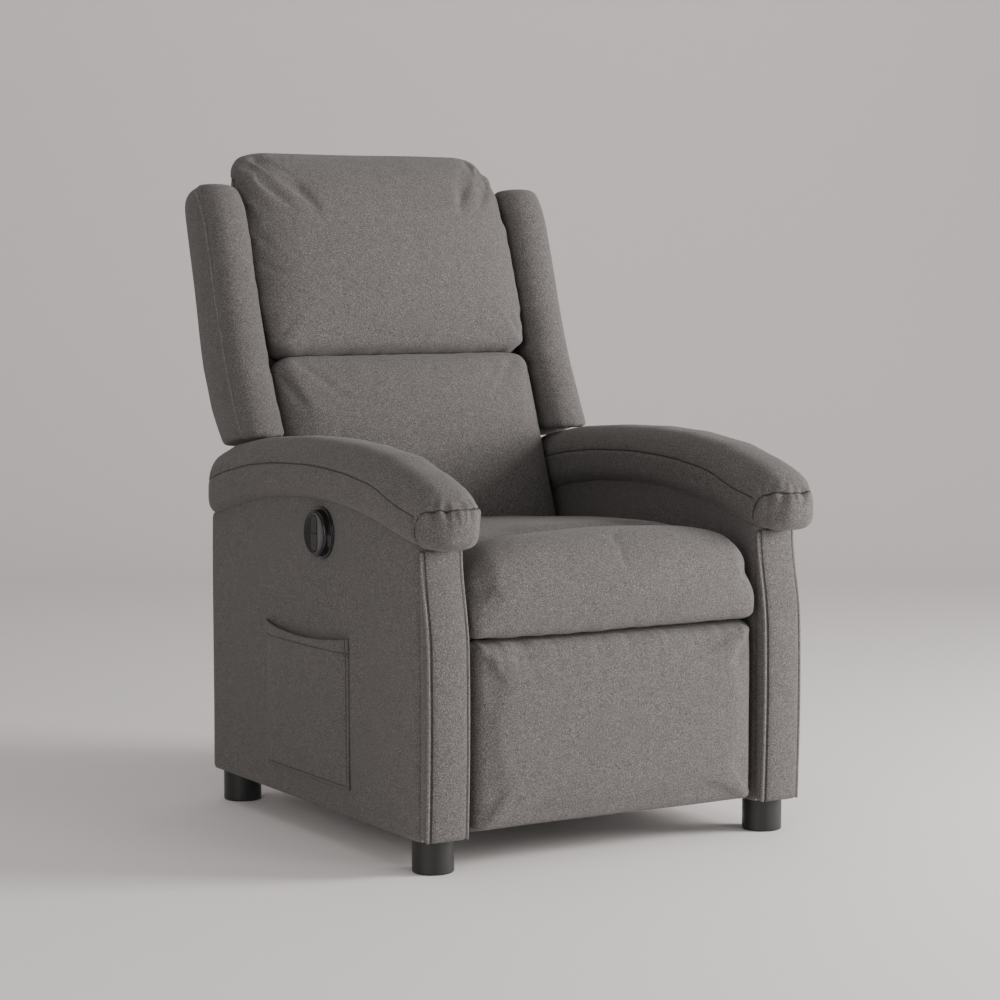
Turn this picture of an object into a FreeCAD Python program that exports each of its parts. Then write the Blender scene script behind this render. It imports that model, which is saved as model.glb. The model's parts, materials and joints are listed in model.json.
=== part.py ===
"""Recliner armchair with a power footrest and a reclining back.

Millimetres, +Z up, the chair faces -Y. The origin is on the floor under the middle of the chair.
"Right" and "left" are the sitter's: the right arm, with the buttons and the pocket, is at -X.
Depths are counted from the front faces of the arms (front_line on the sheet) towards the back.
"""
import FreeCAD, Part
import math
import os

from FreeCAD import Placement, Rotation, Vector

doc = FreeCAD.newDocument("recliner_armchair")

# ---------------------------------------------------------------- driving sizes

SIZES = {
    # the whole chair
    "front_line": (-398.35, "y of the arms' front faces"),
    "half_width": (330.0, "chair centre to the arm's outer face"),
    "arm_width": (72.0, "width of one arm"),
    "arm_depth": (713.0, "front face to rear face of an arm"),
    "foot_height": (50.0, "floor to underside of the arms"),
    "foot_radius": (30.5, "radius of a foot"),
    "foot_side": (293.0, "chair centre to the foot's centre"),
    "foot_front": (47.0, "depth of the front feet"),
    "foot_rear": (676.0, "depth of the rear feet"),
    "arch_crown": (521.0, "highest point of the arm under its pad"),
    "arch_middle": (352.0, "depth of that highest point"),
    "arch_radius": (1150.0, "radius of the arm's arched top"),
    "panel": (6.0, "upholstered panel on an arm's side"),
    "strip_depth": (24.0, "padded strip on an arm's front"),
    # arm pads
    "pad_inner": (244.0, "chair centre to the inner side of an arm pad"),
    "pad_width": (102.0, "width of an arm pad"),
    "pad_crest": (611.0, "highest point of an arm pad"),
    # seat
    "seat_half": (250.0, "half the width of the seat cushion"),
    "seat_top": (477.0, "height of the seat's front roll"),
    "seat_rear_top": (455.0, "height of the seat where it meets the back"),
    "seat_bottom": (337.0, "lowest edge of the seat's front roll"),
    "spring_line": (362.0, "height of the seat springs"),
    "spring_wire": (2.0, "radius of the spring wire"),
    # back
    "back_depth": (656.0, "depth of the seam between headrest and lower cushion"),
    "back_height": (726.0, "height of that seam"),
    "back_tilt": (20.0, "tilt of the back from upright, in degrees"),
    "back_half": (243.0, "half the width of the back between the arm pads"),
    "headrest_half": (250.5, "half the width of the headrest"),
    "wing_width": (75.0, "width of a wing"),
    "cushion_rear": (45.0, "back cushion's rear face behind the seam line"),
    "board_half": (232.0, "half the width of the back's board between the wings"),
    "back_board_thickness": (22.0, "plywood board of the back"),
    # mechanism, all plates are steel
    "plate": (3.0, "thickness of every link and plate"),
    "plane_side": (255.0, "inner face of the fixed side plates"),
    "plane_swing": (250.5, "inner face of the swinging links"),
    "plane_carry": (246.0, "inner face of the carrying links"),
    "plane_bracket": (241.5, "inner face of the footrest brackets"),
    "pin_radius": (4.0, "radius of the link pins"),
    "shaft_radius": (7.0, "radius of the shaft ends"),
    "shaft_body": (9.0, "radius of the cross shafts"),
    "running_gap": (0.06, "radial clearance of a running pin"),
    "open_gap": (0.5, "radial clearance of the two pivots left open"),
    "link_half": (12.0, "half the width of a link"),
    "rail_side": (25.0, "side of the actuator rails"),
    "rail_bottom": (140.0, "underside of the actuator rails"),
    "drive_line": (205.0, "height of the drive pins"),
    "drive_pin": (5.0, "radius of a drive pin"),
    "crank_plate": (8.0, "thickness of a crank"),
    "footrest_drive_side": (-60.0, "x of the footrest's actuator"),
    "recline_drive_side": (90.0, "x of the back's actuator"),
    # footrest
    "footrest_half": (249.0, "half the width of the footrest pad"),
    "footrest_board": (12.0, "thickness of the footrest board"),
    "footrest_bottom": (54.0, "lower edge of the footrest when closed"),
    "footrest_top": (331.0, "upper edge of the footrest when closed"),
    # control and pocket on the right arm
    "control_depth": (315.5, "depth of the control's centre"),
    "control_height": (468.7, "height of the control's centre"),
    "control_plate_radius": (40.0, "radius of the control's base plate"),
    "control_plate_thickness": (3.0, "thickness of that plate"),
    "control_ring_radius": (35.5, "radius of the raised ring"),
    "control_ring_height": (12.5, "height of the ring on its plate"),
    "control_slot_width": (20.0, "width of the recess for the buttons"),
    "control_slot_length": (55.0, "length of that recess"),
    "control_slot_depth": (8.5, "depth of that recess"),
    "button_thickness": (4.5, "thickness of a button"),
    "button_gap": (0.5, "gap round a button"),
    "pocket_front": (229.0, "depth of the pocket's front edge"),
    "pocket_rear": (502.0, "depth of the pocket's rear edge"),
    "pocket_bottom": (91.0, "height of the pocket's lower edge"),
    "pocket_top": (318.0, "height of the pocket's top corners"),
    "pocket_swell": (12.0, "how far the pocket stands out"),
    "pocket_cloth": (3.0, "thickness of the pocket's cloth with its hem"),
}

sheet = doc.addObject("Spreadsheet::Sheet", "Sheet")
for row, (alias, (number, meaning)) in enumerate(SIZES.items(), start=1):
    sheet.set("A%d" % row, meaning)
    sheet.set("B%d" % row, str(number))
    sheet.setAlias("B%d" % row, alias)
doc.recompute()

SIDES = (("right", -1), ("left", 1))

# pivots of the footrest linkage, as (depth, height); the footrest turns about a point inside the
# seat's front roll, and each link pair is a parallelogram on that point
TURNING_POINT = Vector(0, 20, 400)
REAR_PIVOT = Vector(0, 340, 255)
SWING = Vector(0, 72.5, -172.5)
INNER_SHARE = 0.35
LONG_SHARE = 1.35
CARRY = TURNING_POINT - REAR_PIVOT
REAR_END = REAR_PIVOT + SWING
REAR_SUPPORT = TURNING_POINT + SWING
FRONT_PIVOT = REAR_PIVOT + CARRY * INNER_SHARE
CROSSING = FRONT_PIVOT + SWING
FRONT_END = FRONT_PIVOT + SWING * LONG_SHARE
FRONT_SUPPORT = TURNING_POINT + SWING * LONG_SHARE
BACK_PIVOT = Vector(0, 585, 330)

nodes = []


def size(alias):
    """Return a driving size from the sheet."""
    return float(sheet.get(alias))


def keep(obj, label):
    """Name a finished piece and put it on the list of pieces to write."""
    obj.Label = label
    nodes.append(obj)
    return obj


def place(obj, x="0", y="0", z="0"):
    """Bind an object's position to the sheet; depths start at the front line."""
    obj.setExpression("Placement.Base.x", x)
    obj.setExpression("Placement.Base.y", "Sheet.front_line + " + y)
    obj.setExpression("Placement.Base.z", z)


def box(x, y, z, label=None):
    """Make a box from three (low, high) pairs of sheet expressions."""
    obj = doc.addObject("Part::Box", "box")
    for prop, (low, high) in zip(("Length", "Width", "Height"), (x, y, z)):
        obj.setExpression(prop, "(%s) - (%s)" % (high, low))
    place(obj, x[0], y[0], z[0])
    return keep(obj, label) if label else obj


def rod(radius, length, start, direction, label=None):
    """Make a round bar from a start point along +X, +Y or +Z; sizes are sheet expressions."""
    obj = doc.addObject("Part::Cylinder", "rod")
    obj.setExpression("Radius", radius)
    obj.setExpression("Height", length)
    obj.Placement = Placement(Vector(), Rotation(Vector(0, 0, 1), direction))
    place(obj, *start)
    return keep(obj, label) if label else obj


def join(parts, label=None):
    """Fuse several solids; solids that don't touch stay separate in one piece."""
    obj = doc.addObject("Part::MultiFuse", "join")
    obj.Shapes = parts
    return keep(obj, label) if label else obj


def cut(base, tool, label=None):
    """Take one solid away from another."""
    obj = doc.addObject("Part::Cut", "cut")
    obj.Base = base
    obj.Tool = tool
    return keep(obj, label) if label else obj


# ---------------------------------------------------------------- outlines

def rounded(corners):
    """Turn corners (a, b, radius) into the lines and tangent arcs of a closed outline."""
    points = [Vector(a, b, 0) for a, b, _ in corners]
    count = len(points)
    stops = []
    for i, (_, _, radius) in enumerate(corners):
        here = points[i]
        back = (points[i - 1] - here).normalize()
        ahead = (points[(i + 1) % count] - here).normalize()
        half = back.getAngle(ahead) / 2
        if radius <= 0:
            stops.append((here, None, here))
            continue
        reach = radius / math.tan(half)
        middle = (back + ahead).normalize() * (radius / math.sin(half) - radius)
        stops.append((here + back * reach, here + middle, here + ahead * reach))
    edges = []
    for i, (start, middle, end) in enumerate(stops):
        if middle is not None:
            edges.append(Part.Arc(start, middle, end))
        following = stops[(i + 1) % count][0]
        if end.distanceToPoint(following) > 0.001:
            edges.append(Part.LineSegment(end, following))
    return edges


def chain(start, *steps):
    """Follow steps from a start point: (a, b) is a line, (via a, via b, a, b) is an arc."""
    edges = []
    here = Vector(start[0], start[1], 0)
    for step in steps:
        end = Vector(step[-2], step[-1], 0)
        if len(step) == 2:
            edges.append(Part.LineSegment(here, end))
        else:
            edges.append(Part.Arc(here, Vector(step[0], step[1], 0), end))
        here = end
    return edges


def ring(y, z, radius):
    """One full circle."""
    return [Part.Circle(Vector(y, z, 0), Vector(0, 0, 1), radius)]


def bar(start, end, half):
    """A bar with round ends between two pivots."""
    along = Vector(end.y - start.y, end.z - start.z, 0)
    along.normalize()
    across = Vector(-along.y, along.x, 0) * half
    tip = along * half
    first = Vector(start.y, start.z, 0)
    last = Vector(end.y, end.z, 0)
    return [
        Part.LineSegment(first + across, last + across),
        Part.Arc(last + across, last + tip, last - across),
        Part.LineSegment(last - across, first - across),
        Part.Arc(first - across, first - tip, first + across),
    ]


def arch(y):
    """Height of the arm's arched top at a depth."""
    radius = size("arch_radius")
    away = y - size("arch_middle")
    return size("arch_crown") - radius + math.sqrt(radius ** 2 - away ** 2)


# ---------------------------------------------------------------- bodies

def new_body(label, tilted=False):
    """Start a body in the chair's frame, or in the tilted frame of the back."""
    body = keep(doc.addObject("PartDesign::Body", "body"), label)
    if tilted:
        body.Placement = Placement(Vector(), Rotation(Vector(1, 0, 0), -size("back_tilt")))
        place(body, "0", "Sheet.back_depth", "Sheet.back_height")
    else:
        place(body)
    return body


def new_sketch(body, role, edges, offset="0"):
    """Draw edges on one of the body's own planes, moved along its normal."""
    sketch = body.newObject("Sketcher::SketchObject", "sketch")
    plane = [p for p in body.Origin.OriginFeatures if p.Role == role][0]
    sketch.AttachmentSupport = [(plane, "")]
    sketch.MapMode = "FlatFace"
    sketch.setExpression("AttachmentOffset.Base.z", offset)
    for edge in edges:
        sketch.addGeometry(edge, False)
    return sketch


def across(body, edges, low, high):
    """Pad an outline seen from the side, from x = low to x = high."""
    sketch = new_sketch(body, "YZ_Plane", edges, low)
    pad = body.newObject("PartDesign::Pad", "pad")
    pad.Profile = sketch
    pad.setExpression("Length", "(%s) - (%s)" % (high, low))
    return pad


def carve(body, edges, low, high):
    """Cut an outline seen from the side, from x = low to x = high."""
    sketch = new_sketch(body, "YZ_Plane", edges, low)
    pocket = body.newObject("PartDesign::Pocket", "pocket")
    pocket.Profile = sketch
    pocket.Reversed = True
    pocket.setExpression("Length", "(%s) - (%s)" % (high, low))
    return pocket


def span(side, inner, outer):
    """The x range between two distances from the middle, on one side of the chair."""
    if side > 0:
        return inner, outer
    return "-(%s)" % outer, "-(%s)" % inner


def plane_span(side, plane):
    """The x range of a steel plate in one of the mechanism's planes."""
    return span(side, "Sheet." + plane, "Sheet.%s + Sheet.plate" % plane)


# ---------------------------------------------------------------- arms

def arm_outline(front, rear):
    """Side of an arm between two depths: flat below, arched on top."""
    middle = (front + rear) / 2
    bottom = size("foot_height")
    return chain((front, bottom), (rear, bottom), (rear, arch(rear)),
                 (middle, arch(middle), front, arch(front)), (front, bottom))


FRAME_WINDOW = (145.0, 600.0, 150.0, 400.0)
PLATE_BOLTS = ((120.0, 352.0), (485.0, 120.0), (632.0, 120.0), (636.0, 215.0))
BOLT_REACH = 29.0


def make_arm(name, side):
    """One arm: timber frame, two side panels, front strip and pad."""
    front = size("strip_depth")
    rear = size("arm_depth") - size("panel")
    inner = "Sheet.half_width - Sheet.arm_width"

    frame = new_body(name + "_arm_frame")
    low, high = span(side, inner + " + Sheet.panel", "Sheet.half_width - Sheet.panel")
    across(frame, arm_outline(front, rear), low, high)
    y0, y1, z0, z1 = FRAME_WINDOW
    carve(frame, rounded([(y0, z0, 20), (y1, z0, 20), (y1, z1, 20), (y0, z1, 20)]), low, high)
    for y, z in PLATE_BOLTS:
        bore = span(side, inner + " + Sheet.panel", inner + " + %s" % BOLT_REACH)
        carve(frame, ring(y, z, size("pin_radius") + size("running_gap")), *bore)
    for y in (size("foot_front"), size("foot_rear")):
        hole = new_sketch(frame, "XY_Plane",
                          [Part.Circle(Vector(side * size("foot_side"), y, 0), Vector(0, 0, 1),
                                       size("pin_radius") + size("running_gap"))],
                          "Sheet.foot_height")
        bore = frame.newObject("PartDesign::Pocket", "pocket")
        bore.Profile = hole
        bore.Reversed = True
        bore.Length = 42

    outer_panel = new_body(name + "_arm_outer_panel")
    low, high = span(side, "Sheet.half_width - Sheet.panel", "Sheet.half_width")
    across(outer_panel, arm_outline(front, size("arm_depth")), low, high)
    low, high = span(side, inner + " + Sheet.panel", "Sheet.half_width - Sheet.panel")
    across(outer_panel, arm_outline(rear, size("arm_depth")), low, high)

    inner_panel = new_body(name + "_arm_inner_panel")
    low, high = span(side, inner, inner + " + Sheet.panel")
    across(inner_panel, arm_outline(front, size("arm_depth")), low, high)
    for y, z in PLATE_BOLTS:
        carve(inner_panel, ring(y, z, size("pin_radius") + size("running_gap")), low, high)

    strip = new_body(name + "_arm_front_strip")
    low, high = span(side, inner, "Sheet.half_width")
    bottom = size("foot_height")
    across(strip, chain((front, bottom), (front, arch(front)), (15.0, arch(15.0)),
                        (-4.0, 250.0, 0.0, bottom), (front, bottom)), low, high)

    pad = new_body(name + "_arm_pad")
    low, high = span(side, "Sheet.pad_inner", "Sheet.pad_inner + Sheet.pad_width")
    crest = size("pad_crest")
    rear_end = 706.0
    across(pad, chain(
        (0.0, arch(0.0)), (353.0, arch(353.0), rear_end, arch(rear_end)),
        (728.0, 520.0, 694.0, 560.0), (346.0, crest, -22.0, 547.0),
        (-46.0, 508.0, -25.0, 468.0), (0.0, arch(0.0))), low, high)


def make_feet():
    """Four round feet with a recess for the bolt, and the bolts that hold them."""
    bolts = []
    radius = size("foot_radius")
    height = size("foot_height")
    profile = chain((4.1, 12.0), (10.0, 12.0), (10.0, 0.0), (radius - 3, 0.0),
                    (radius - 0.9, 0.9, radius, 3.0), (radius, height), (4.1, height),
                    (4.1, 12.0))
    for name, side in SIDES:
        for end, depth in (("front", "foot_front"), ("rear", "foot_rear")):
            foot = keep(doc.addObject("PartDesign::Body", "body"), "%s_%s_foot" % (name, end))
            x = "%d * Sheet.foot_side" % side
            place(foot, x, "Sheet." + depth)
            sketch = new_sketch(foot, "XZ_Plane", profile)
            turn = foot.newObject("PartDesign::Revolution", "revolution")
            turn.Profile = sketch
            turn.ReferenceAxis = (sketch, ["V_Axis"])
            turn.Angle = 360
            up = Vector(0, 0, 1)
            bolts.append(rod("8", "5", (x, "Sheet." + depth, "7"), up))
            bolts.append(rod("Sheet.pin_radius", "Sheet.foot_height + 28",
                             (x, "Sheet." + depth, "12"), up))
    join(bolts, "foot_bolts")


# ---------------------------------------------------------------- frame under the seat

def make_side_plate(name, side):
    """Steel plate on the inside of an arm; it carries the linkage, the seat and the back."""
    plate = new_body(name + "_side_plate")
    low, high = plane_span(side, "plane_side")
    across(plate, rounded([
        (66, 372, 4), (545, 372, 20), (612, 356, 24), (614, 300, 24), (690, 160, 20),
        (690, 98, 6), (430, 98, 6), (430, 190, 30), (370, 232, 12), (200, 292, 20),
        (66, 336, 4)]), low, high)
    running = size("running_gap")
    holes = [(REAR_PIVOT, "shaft_radius"), (FRONT_PIVOT, "pin_radius"), (BACK_PIVOT, "shaft_radius")]
    for pivot, radius in holes:
        carve(plate, ring(pivot.y, pivot.z, size(radius) + running), low, high)
    for y, z in PLATE_BOLTS:
        carve(plate, ring(y, z, size("pin_radius") + running), low, high)


def make_plate_bolts():
    """Eight bolts that hold the side plates to the arms."""
    bolts = []
    for _, side in SIDES:
        for y, z in PLATE_BOLTS:
            depth = "%.1f" % y
            height = "%.1f" % z
            low, high = span(side, "Sheet.plane_side - 3", "Sheet.plane_side")
            bolts.append(rod("7", "(%s) - (%s)" % (high, low), (low, depth, height),
                             Vector(1, 0, 0)))
            low, high = span(side, "Sheet.plane_side", "Sheet.plane_side + %s" % BOLT_REACH)
            bolts.append(rod("Sheet.pin_radius", "(%s) - (%s)" % (high, low),
                             (low, depth, height), Vector(1, 0, 0)))
    join(bolts, "side_plate_bolts")


def make_base_frame():
    """Cross rails, seat rails, actuator rails with their motors, and the electrics."""
    full = ("-Sheet.plane_side", "Sheet.plane_side")
    box(full, ("440", "465"), ("Sheet.rail_bottom - 40", "Sheet.rail_bottom"), "front_cross_rail")
    box(full, ("650", "675"), ("Sheet.rail_bottom - 40", "Sheet.rail_bottom"), "rear_cross_rail")
    box(full, ("70", "100"), ("340", "372"), "seat_front_rail")
    box(full, ("480", "505"), ("340", "370"), "seat_rear_rail")

    top = "Sheet.rail_bottom + Sheet.rail_side"
    for name, centre, start in (("footrest", "Sheet.footrest_drive_side", "255"),
                                ("recline", "Sheet.recline_drive_side", "440")):
        sides = (centre + " - Sheet.rail_side / 2", centre + " + Sheet.rail_side / 2")
        box(sides, (start, "675"), ("Sheet.rail_bottom", top), name + "_actuator_rail")
    for name, centre, gearbox, motor in (
            ("footrest", "Sheet.footrest_drive_side", ("480", "528"), ("528", "632")),
            ("recline", "Sheet.recline_drive_side", ("470", "518"), ("366", "470"))):
        case = box((centre + " - 22", centre + " + 22"), gearbox, (top, top + " + 50"))
        drum = rod("19", "(%s) - (%s)" % (motor[1], motor[0]),
                   (centre, motor[0], top + " + 25"), Vector(0, 1, 0))
        join([case, drum], name + "_motor")

    box(("-215", "-95"), ("592", "650"), ("Sheet.rail_bottom - 40", "Sheet.rail_bottom"),
        "control_box")
    wall = ("Sheet.arm_depth - 2 * Sheet.panel", "Sheet.arm_depth - Sheet.panel")
    inside = ("-(Sheet.half_width - Sheet.arm_width)", "Sheet.half_width - Sheet.arm_width")
    panel = box(inside, wall, ("56", "388"))
    hole = box(("-162", "-138"), wall, ("101", "119"))
    cut(panel, hole, "rear_valance")
    plug_body = box(("-162", "-138"), ("Sheet.arm_depth - 32", wall[1]), ("101", "119"))
    flange = box(("-169", "-131"), (wall[1], wall[1] + " + 3"), ("96", "124"))
    socket = box(("-157", "-143"), ("Sheet.arm_depth - 20", wall[1] + " + 3"), ("105", "115"))
    cut(join([plug_body, flange]), socket, "power_inlet")


def make_springs():
    """Five sinuous springs across the seat: wire that runs to and fro between the seat rails."""
    start = 102.5
    pitch = 12.5
    turns = 30
    reach = 19.0
    height = size("spring_line")
    wires = []
    for column in range(5):
        middle = (column - 2) * 88.0
        side = 1
        here = Vector(middle, start, height)
        ahead = Vector(middle + reach, start, height)
        edges = [Part.LineSegment(here, ahead).toShape()]
        for _ in range(turns):
            here = ahead
            beyond = Vector(here.x, here.y + pitch, height)
            bulge = Vector(here.x + side * pitch / 2, here.y + pitch / 2, height)
            edges.append(Part.Arc(here, bulge, beyond).toShape())
            side = -side
            ahead = Vector(middle + side * reach, beyond.y, height)
            edges.append(Part.LineSegment(beyond, ahead).toShape())
        path = Part.Wire(edges)
        circle = Part.Circle(Vector(middle, start, height), Vector(1, 0, 0), size("spring_wire"))
        wires.append(path.makePipeShell([Part.Wire([circle.toShape()])], True, True))
    springs = doc.addObject("Part::Feature", "springs")
    springs.Shape = Part.makeCompound(wires)
    place(springs)
    keep(springs, "seat_springs")


def make_seat():
    """Seat cushion with its front roll in one piece."""
    seat = new_body("seat_cushion")
    bottom = size("seat_bottom")
    top = size("seat_top")
    across(seat, rounded([
        (4, bottom, 14), (-2, top, 56), (120, top + 1, 300), (548, size("seat_rear_top"), 16),
        (517, 374, 6), (66, 374, 0), (66, bottom, 6)]),
        "-Sheet.seat_half", "Sheet.seat_half")


# ---------------------------------------------------------------- back

def tilted_point(y, z):
    """A depth and height in the chair's frame as (behind, up) in the back's tilted frame."""
    angle = math.radians(size("back_tilt"))
    dy = y - size("back_depth")
    dz = z - size("back_height")
    return (dy * math.cos(angle) - dz * math.sin(angle),
            dy * math.sin(angle) + dz * math.cos(angle))


BACK_BOTTOM = -376.0
BOARD_STEP = -150.0
BRACKET_TOP = -262.0


def make_back():
    """Board, cushions, wings and rear cover of the back, with its hinge brackets."""
    rear = size("cushion_rear")
    board_rear = rear + size("back_board_thickness")
    half = ("-Sheet.back_half", "Sheet.back_half")

    board = new_body("back_board", tilted=True)
    across(board, rounded([(rear, BACK_BOTTOM, 0), (rear, BOARD_STEP, 0),
                           (board_rear, BOARD_STEP, 0), (board_rear, BACK_BOTTOM, 0)]), *half)
    across(board, rounded([(rear, BOARD_STEP, 0), (rear, 320, 6), (board_rear, 320, 6),
                           (board_rear, BOARD_STEP, 0)]),
           "-Sheet.board_half", "Sheet.board_half")

    lower = new_body("lower_back_cushion", tilted=True)
    across(lower, rounded([(rear, -3, 0), (-20, -3, 16), (-27, -110, 150), (-5, -290, 60),
                           (-5, BACK_BOTTOM, 10), (rear, BACK_BOTTOM, 0)]), *half)

    head = new_body("headrest_cushion", tilted=True)
    across(head, rounded([(rear, 3, 0), (-18, 3, 16), (-28, 130, 200), (-16, 335, 40),
                          (22, 364, 14), (board_rear, 352, 10), (board_rear, 322, 0),
                          (rear, 322, 0)]),
           "-Sheet.headrest_half", "Sheet.headrest_half")

    cover = new_body("back_rear_cover", tilted=True)
    across(cover, rounded([(board_rear, BACK_BOTTOM, 0), (board_rear, 340, 3), (76, 340, 6),
                           (98, 150, 300), (112, -12, 200), (86, -190, 120),
                           (80, BACK_BOTTOM, 4)]), *half)

    front_low = tilted_point(600, 600)
    rear_low = tilted_point(690, 577)
    for name, side in SIDES:
        wing = new_body(name + "_wing", tilted=True)
        low, high = span(side, "Sheet.headrest_half + 0.5",
                         "Sheet.headrest_half + 0.5 + Sheet.wing_width")
        across(wing, rounded([
            (front_low[0], front_low[1], 8), (-14, 20, 100), (-12, 240, 40), (28, 301, 26),
            (78, 298, 14), (99, 137, 300), (112, -10, 200), (rear_low[0], rear_low[1], 10)]),
            low, high)

        bracket = new_body(name + "_back_bracket", tilted=True)
        low, high = plane_span(side, "plane_carry")
        pivot = tilted_point(BACK_PIVOT.y, BACK_PIVOT.z)
        across(bracket, rounded([
            (pivot[0] - 16, pivot[1] - 14, 12), (pivot[0] + 16, pivot[1] - 14, 12),
            (82, -330, 20), (74, BRACKET_TOP, 8), (48, BRACKET_TOP, 8)]), low, high)
        carve(bracket, ring(pivot[0], pivot[1], size("shaft_radius") + 0.02), low, high)


def crank_slot(pivot, angle, first, last, width):
    """A round-ended slot along a crank that points down and to the rear by an angle."""
    along = Vector(0, math.sin(angle), -math.cos(angle))
    return bar(pivot + along * first, pivot + along * last, width / 2)


def make_shaft(label, pivot, centre, swing, slot_width, inner):
    """Cross shaft with a slotted crank; swing is half of the crank's travel in degrees."""
    shaft = new_body(label)
    angle = math.radians(swing)
    along = Vector(0, math.sin(angle), -math.cos(angle))
    short = pivot.z - size("drive_line")
    far = short / math.cos(angle)
    tip = far + size("drive_pin") + 1
    body_radius = size("shaft_body")
    across(shaft, ring(pivot.y, pivot.z, body_radius), "-(%s)" % inner, inner)
    end = "Sheet.plane_side + Sheet.plate - 0.5"
    for _, side in SIDES:
        low, high = span(side, inner, end)
        across(shaft, ring(pivot.y, pivot.z, size("shaft_radius")), low, high)
    low = centre + " - Sheet.crank_plate / 2"
    high = centre + " + Sheet.crank_plate / 2"
    half = slot_width / 2 + 5
    across(shaft, bar(pivot, pivot + along * (tip - slot_width / 2 + 1), half), low, high)
    carve(shaft, crank_slot(pivot, angle, short + slot_width / 2 - 7, tip - slot_width / 2,
                            slot_width), low, high)


def make_drive_block(label, centre, pin_depth):
    """Block that slides on a rail; a pin between its two cheeks drives a crank."""
    gap = 0.3
    top = "Sheet.rail_bottom + Sheet.rail_side"
    pin = "%.3f" % pin_depth
    length = ("%s - 20" % pin, "%s + 20" % pin)
    reach = "Sheet.rail_side / 2 + %s" % gap
    saddle = box(("%s - (%s) - 4" % (centre, reach), "%s + %s + 4" % (centre, reach)), length,
                 (top + " - 12", top + " + 3"))
    channel = box(("%s - (%s)" % (centre, reach), "%s + %s" % (centre, reach)), length,
                  (top + " - 12", top + " + %s" % gap))
    pieces = [cut(saddle, channel)]
    for low, high in (("-12", "-6"), ("6", "12")):
        pieces.append(box(("%s + %s" % (centre, low), "%s + %s" % (centre, high)),
                          ("%s - 11" % pin, "%s + 11" % pin),
                          (top + " + 2", "Sheet.drive_line + 11")))
    pieces.append(rod("Sheet.drive_pin", "20", (centre + " - 10", pin, "Sheet.drive_line"),
                      Vector(1, 0, 0)))
    join(pieces, label)


# ---------------------------------------------------------------- footrest and its links

def make_link(label, side, plane, start, end, pins, holes):
    """A flat link; pins are (pivot, inner plane or outer reach), holes are (pivot, gap)."""
    link = new_body(label)
    low, high = plane_span(side, plane)
    across(link, bar(start, end, size("link_half")), low, high)
    for pivot, inner, outer in pins:
        across(link, ring(pivot.y, pivot.z, size("pin_radius")), *span(side, inner, outer))
    for pivot, radius in holes:
        carve(link, ring(pivot.y, pivot.z, radius), low, high)


def make_links(name, side):
    """The four links of one side."""
    running = size("pin_radius") + size("running_gap")
    loose = size("pin_radius") + size("open_gap")
    swing_in = "Sheet.plane_swing"
    carry_in = "Sheet.plane_carry"
    bracket_in = "Sheet.plane_bracket"
    to_carry = (carry_in, swing_in)
    to_bracket = (bracket_in, carry_in)
    to_side = (swing_in + " + Sheet.plate", "Sheet.plane_side + Sheet.plate - 0.5")

    make_link(name + "_rear_swing_link", side, "plane_swing", REAR_PIVOT, REAR_END,
              [(REAR_END,) + to_carry], [(REAR_PIVOT, size("shaft_radius") + 0.02)])
    make_link(name + "_front_swing_link", side, "plane_swing", FRONT_PIVOT, FRONT_END,
              [(FRONT_PIVOT,) + to_side, (CROSSING,) + to_carry, (FRONT_END,) + to_carry], [])
    make_link(name + "_lower_carrying_link", side, "plane_carry", REAR_END, REAR_SUPPORT,
              [(REAR_SUPPORT,) + to_bracket], [(REAR_END, running), (CROSSING, loose)])
    make_link(name + "_upper_carrying_link", side, "plane_carry", FRONT_END, FRONT_SUPPORT,
              [(FRONT_SUPPORT,) + to_bracket], [(FRONT_END, running)])

    bracket = new_body(name + "_footrest_bracket")
    low, high = plane_span(side, "plane_bracket")
    across(bracket, rounded([
        (50, 300, 4), (64, 290, 8), (REAR_SUPPORT.y + 16, REAR_SUPPORT.z + 8, 12),
        (FRONT_SUPPORT.y + 16, FRONT_SUPPORT.z - 4, 12), (FRONT_SUPPORT.y - 14, 124, 10),
        (50, 96, 4)]), low, high)
    carve(bracket, ring(REAR_SUPPORT.y, REAR_SUPPORT.z, running), low, high)
    carve(bracket, ring(FRONT_SUPPORT.y, FRONT_SUPPORT.z, loose), low, high)


def make_footrest():
    """Footrest pad on its board."""
    box(("-Sheet.plane_bracket", "Sheet.plane_bracket"), ("50", "50 + Sheet.footrest_board"),
        ("Sheet.footrest_bottom + 6", "Sheet.footrest_top - 2"), "footrest_board")
    pad = new_body("footrest_pad")
    low = size("footrest_bottom")
    high = size("footrest_top")
    across(pad, rounded([(50, low, 4), (12, low, 16), (2, (low + high) / 2, 600),
                         (8, high, 14), (50, high, 4)]),
           "-Sheet.footrest_half", "Sheet.footrest_half")


# ---------------------------------------------------------------- control and pocket

def make_control():
    """Round control on the right arm: base plate, ring with a recess, and two buttons."""
    y = size("control_depth")
    z = size("control_height")
    face = "-Sheet.half_width"
    plate_out = face + " - Sheet.control_plate_thickness"
    ring_out = plate_out + " - Sheet.control_ring_height"

    plate = new_body("control_base_plate")
    across(plate, ring(y, z, size("control_plate_radius")), plate_out, face)

    width = size("control_slot_width")
    length = size("control_slot_length")
    half_run = (length - width) / 2
    shell = new_body("control_ring")
    across(shell, ring(y, z, size("control_ring_radius")), ring_out, plate_out)
    recess = bar(Vector(0, y, z - half_run), Vector(0, y, z + half_run), width / 2)
    carve(shell, recess, ring_out, ring_out + " + Sheet.control_slot_depth")

    gap = size("button_gap")
    radius = width / 2 - gap
    low = ring_out + " + 1"
    for name, way in (("recline_button", 1), ("return_button", -1)):
        button = new_body(name)
        flat = z + way * gap
        curve = z + way * half_run
        across(button, chain((y - radius, flat), (y - radius, curve),
                             (y, curve + way * radius, y + radius, curve),
                             (y + radius, flat), (y - radius, flat)),
               low, low + " + Sheet.button_thickness")


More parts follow.
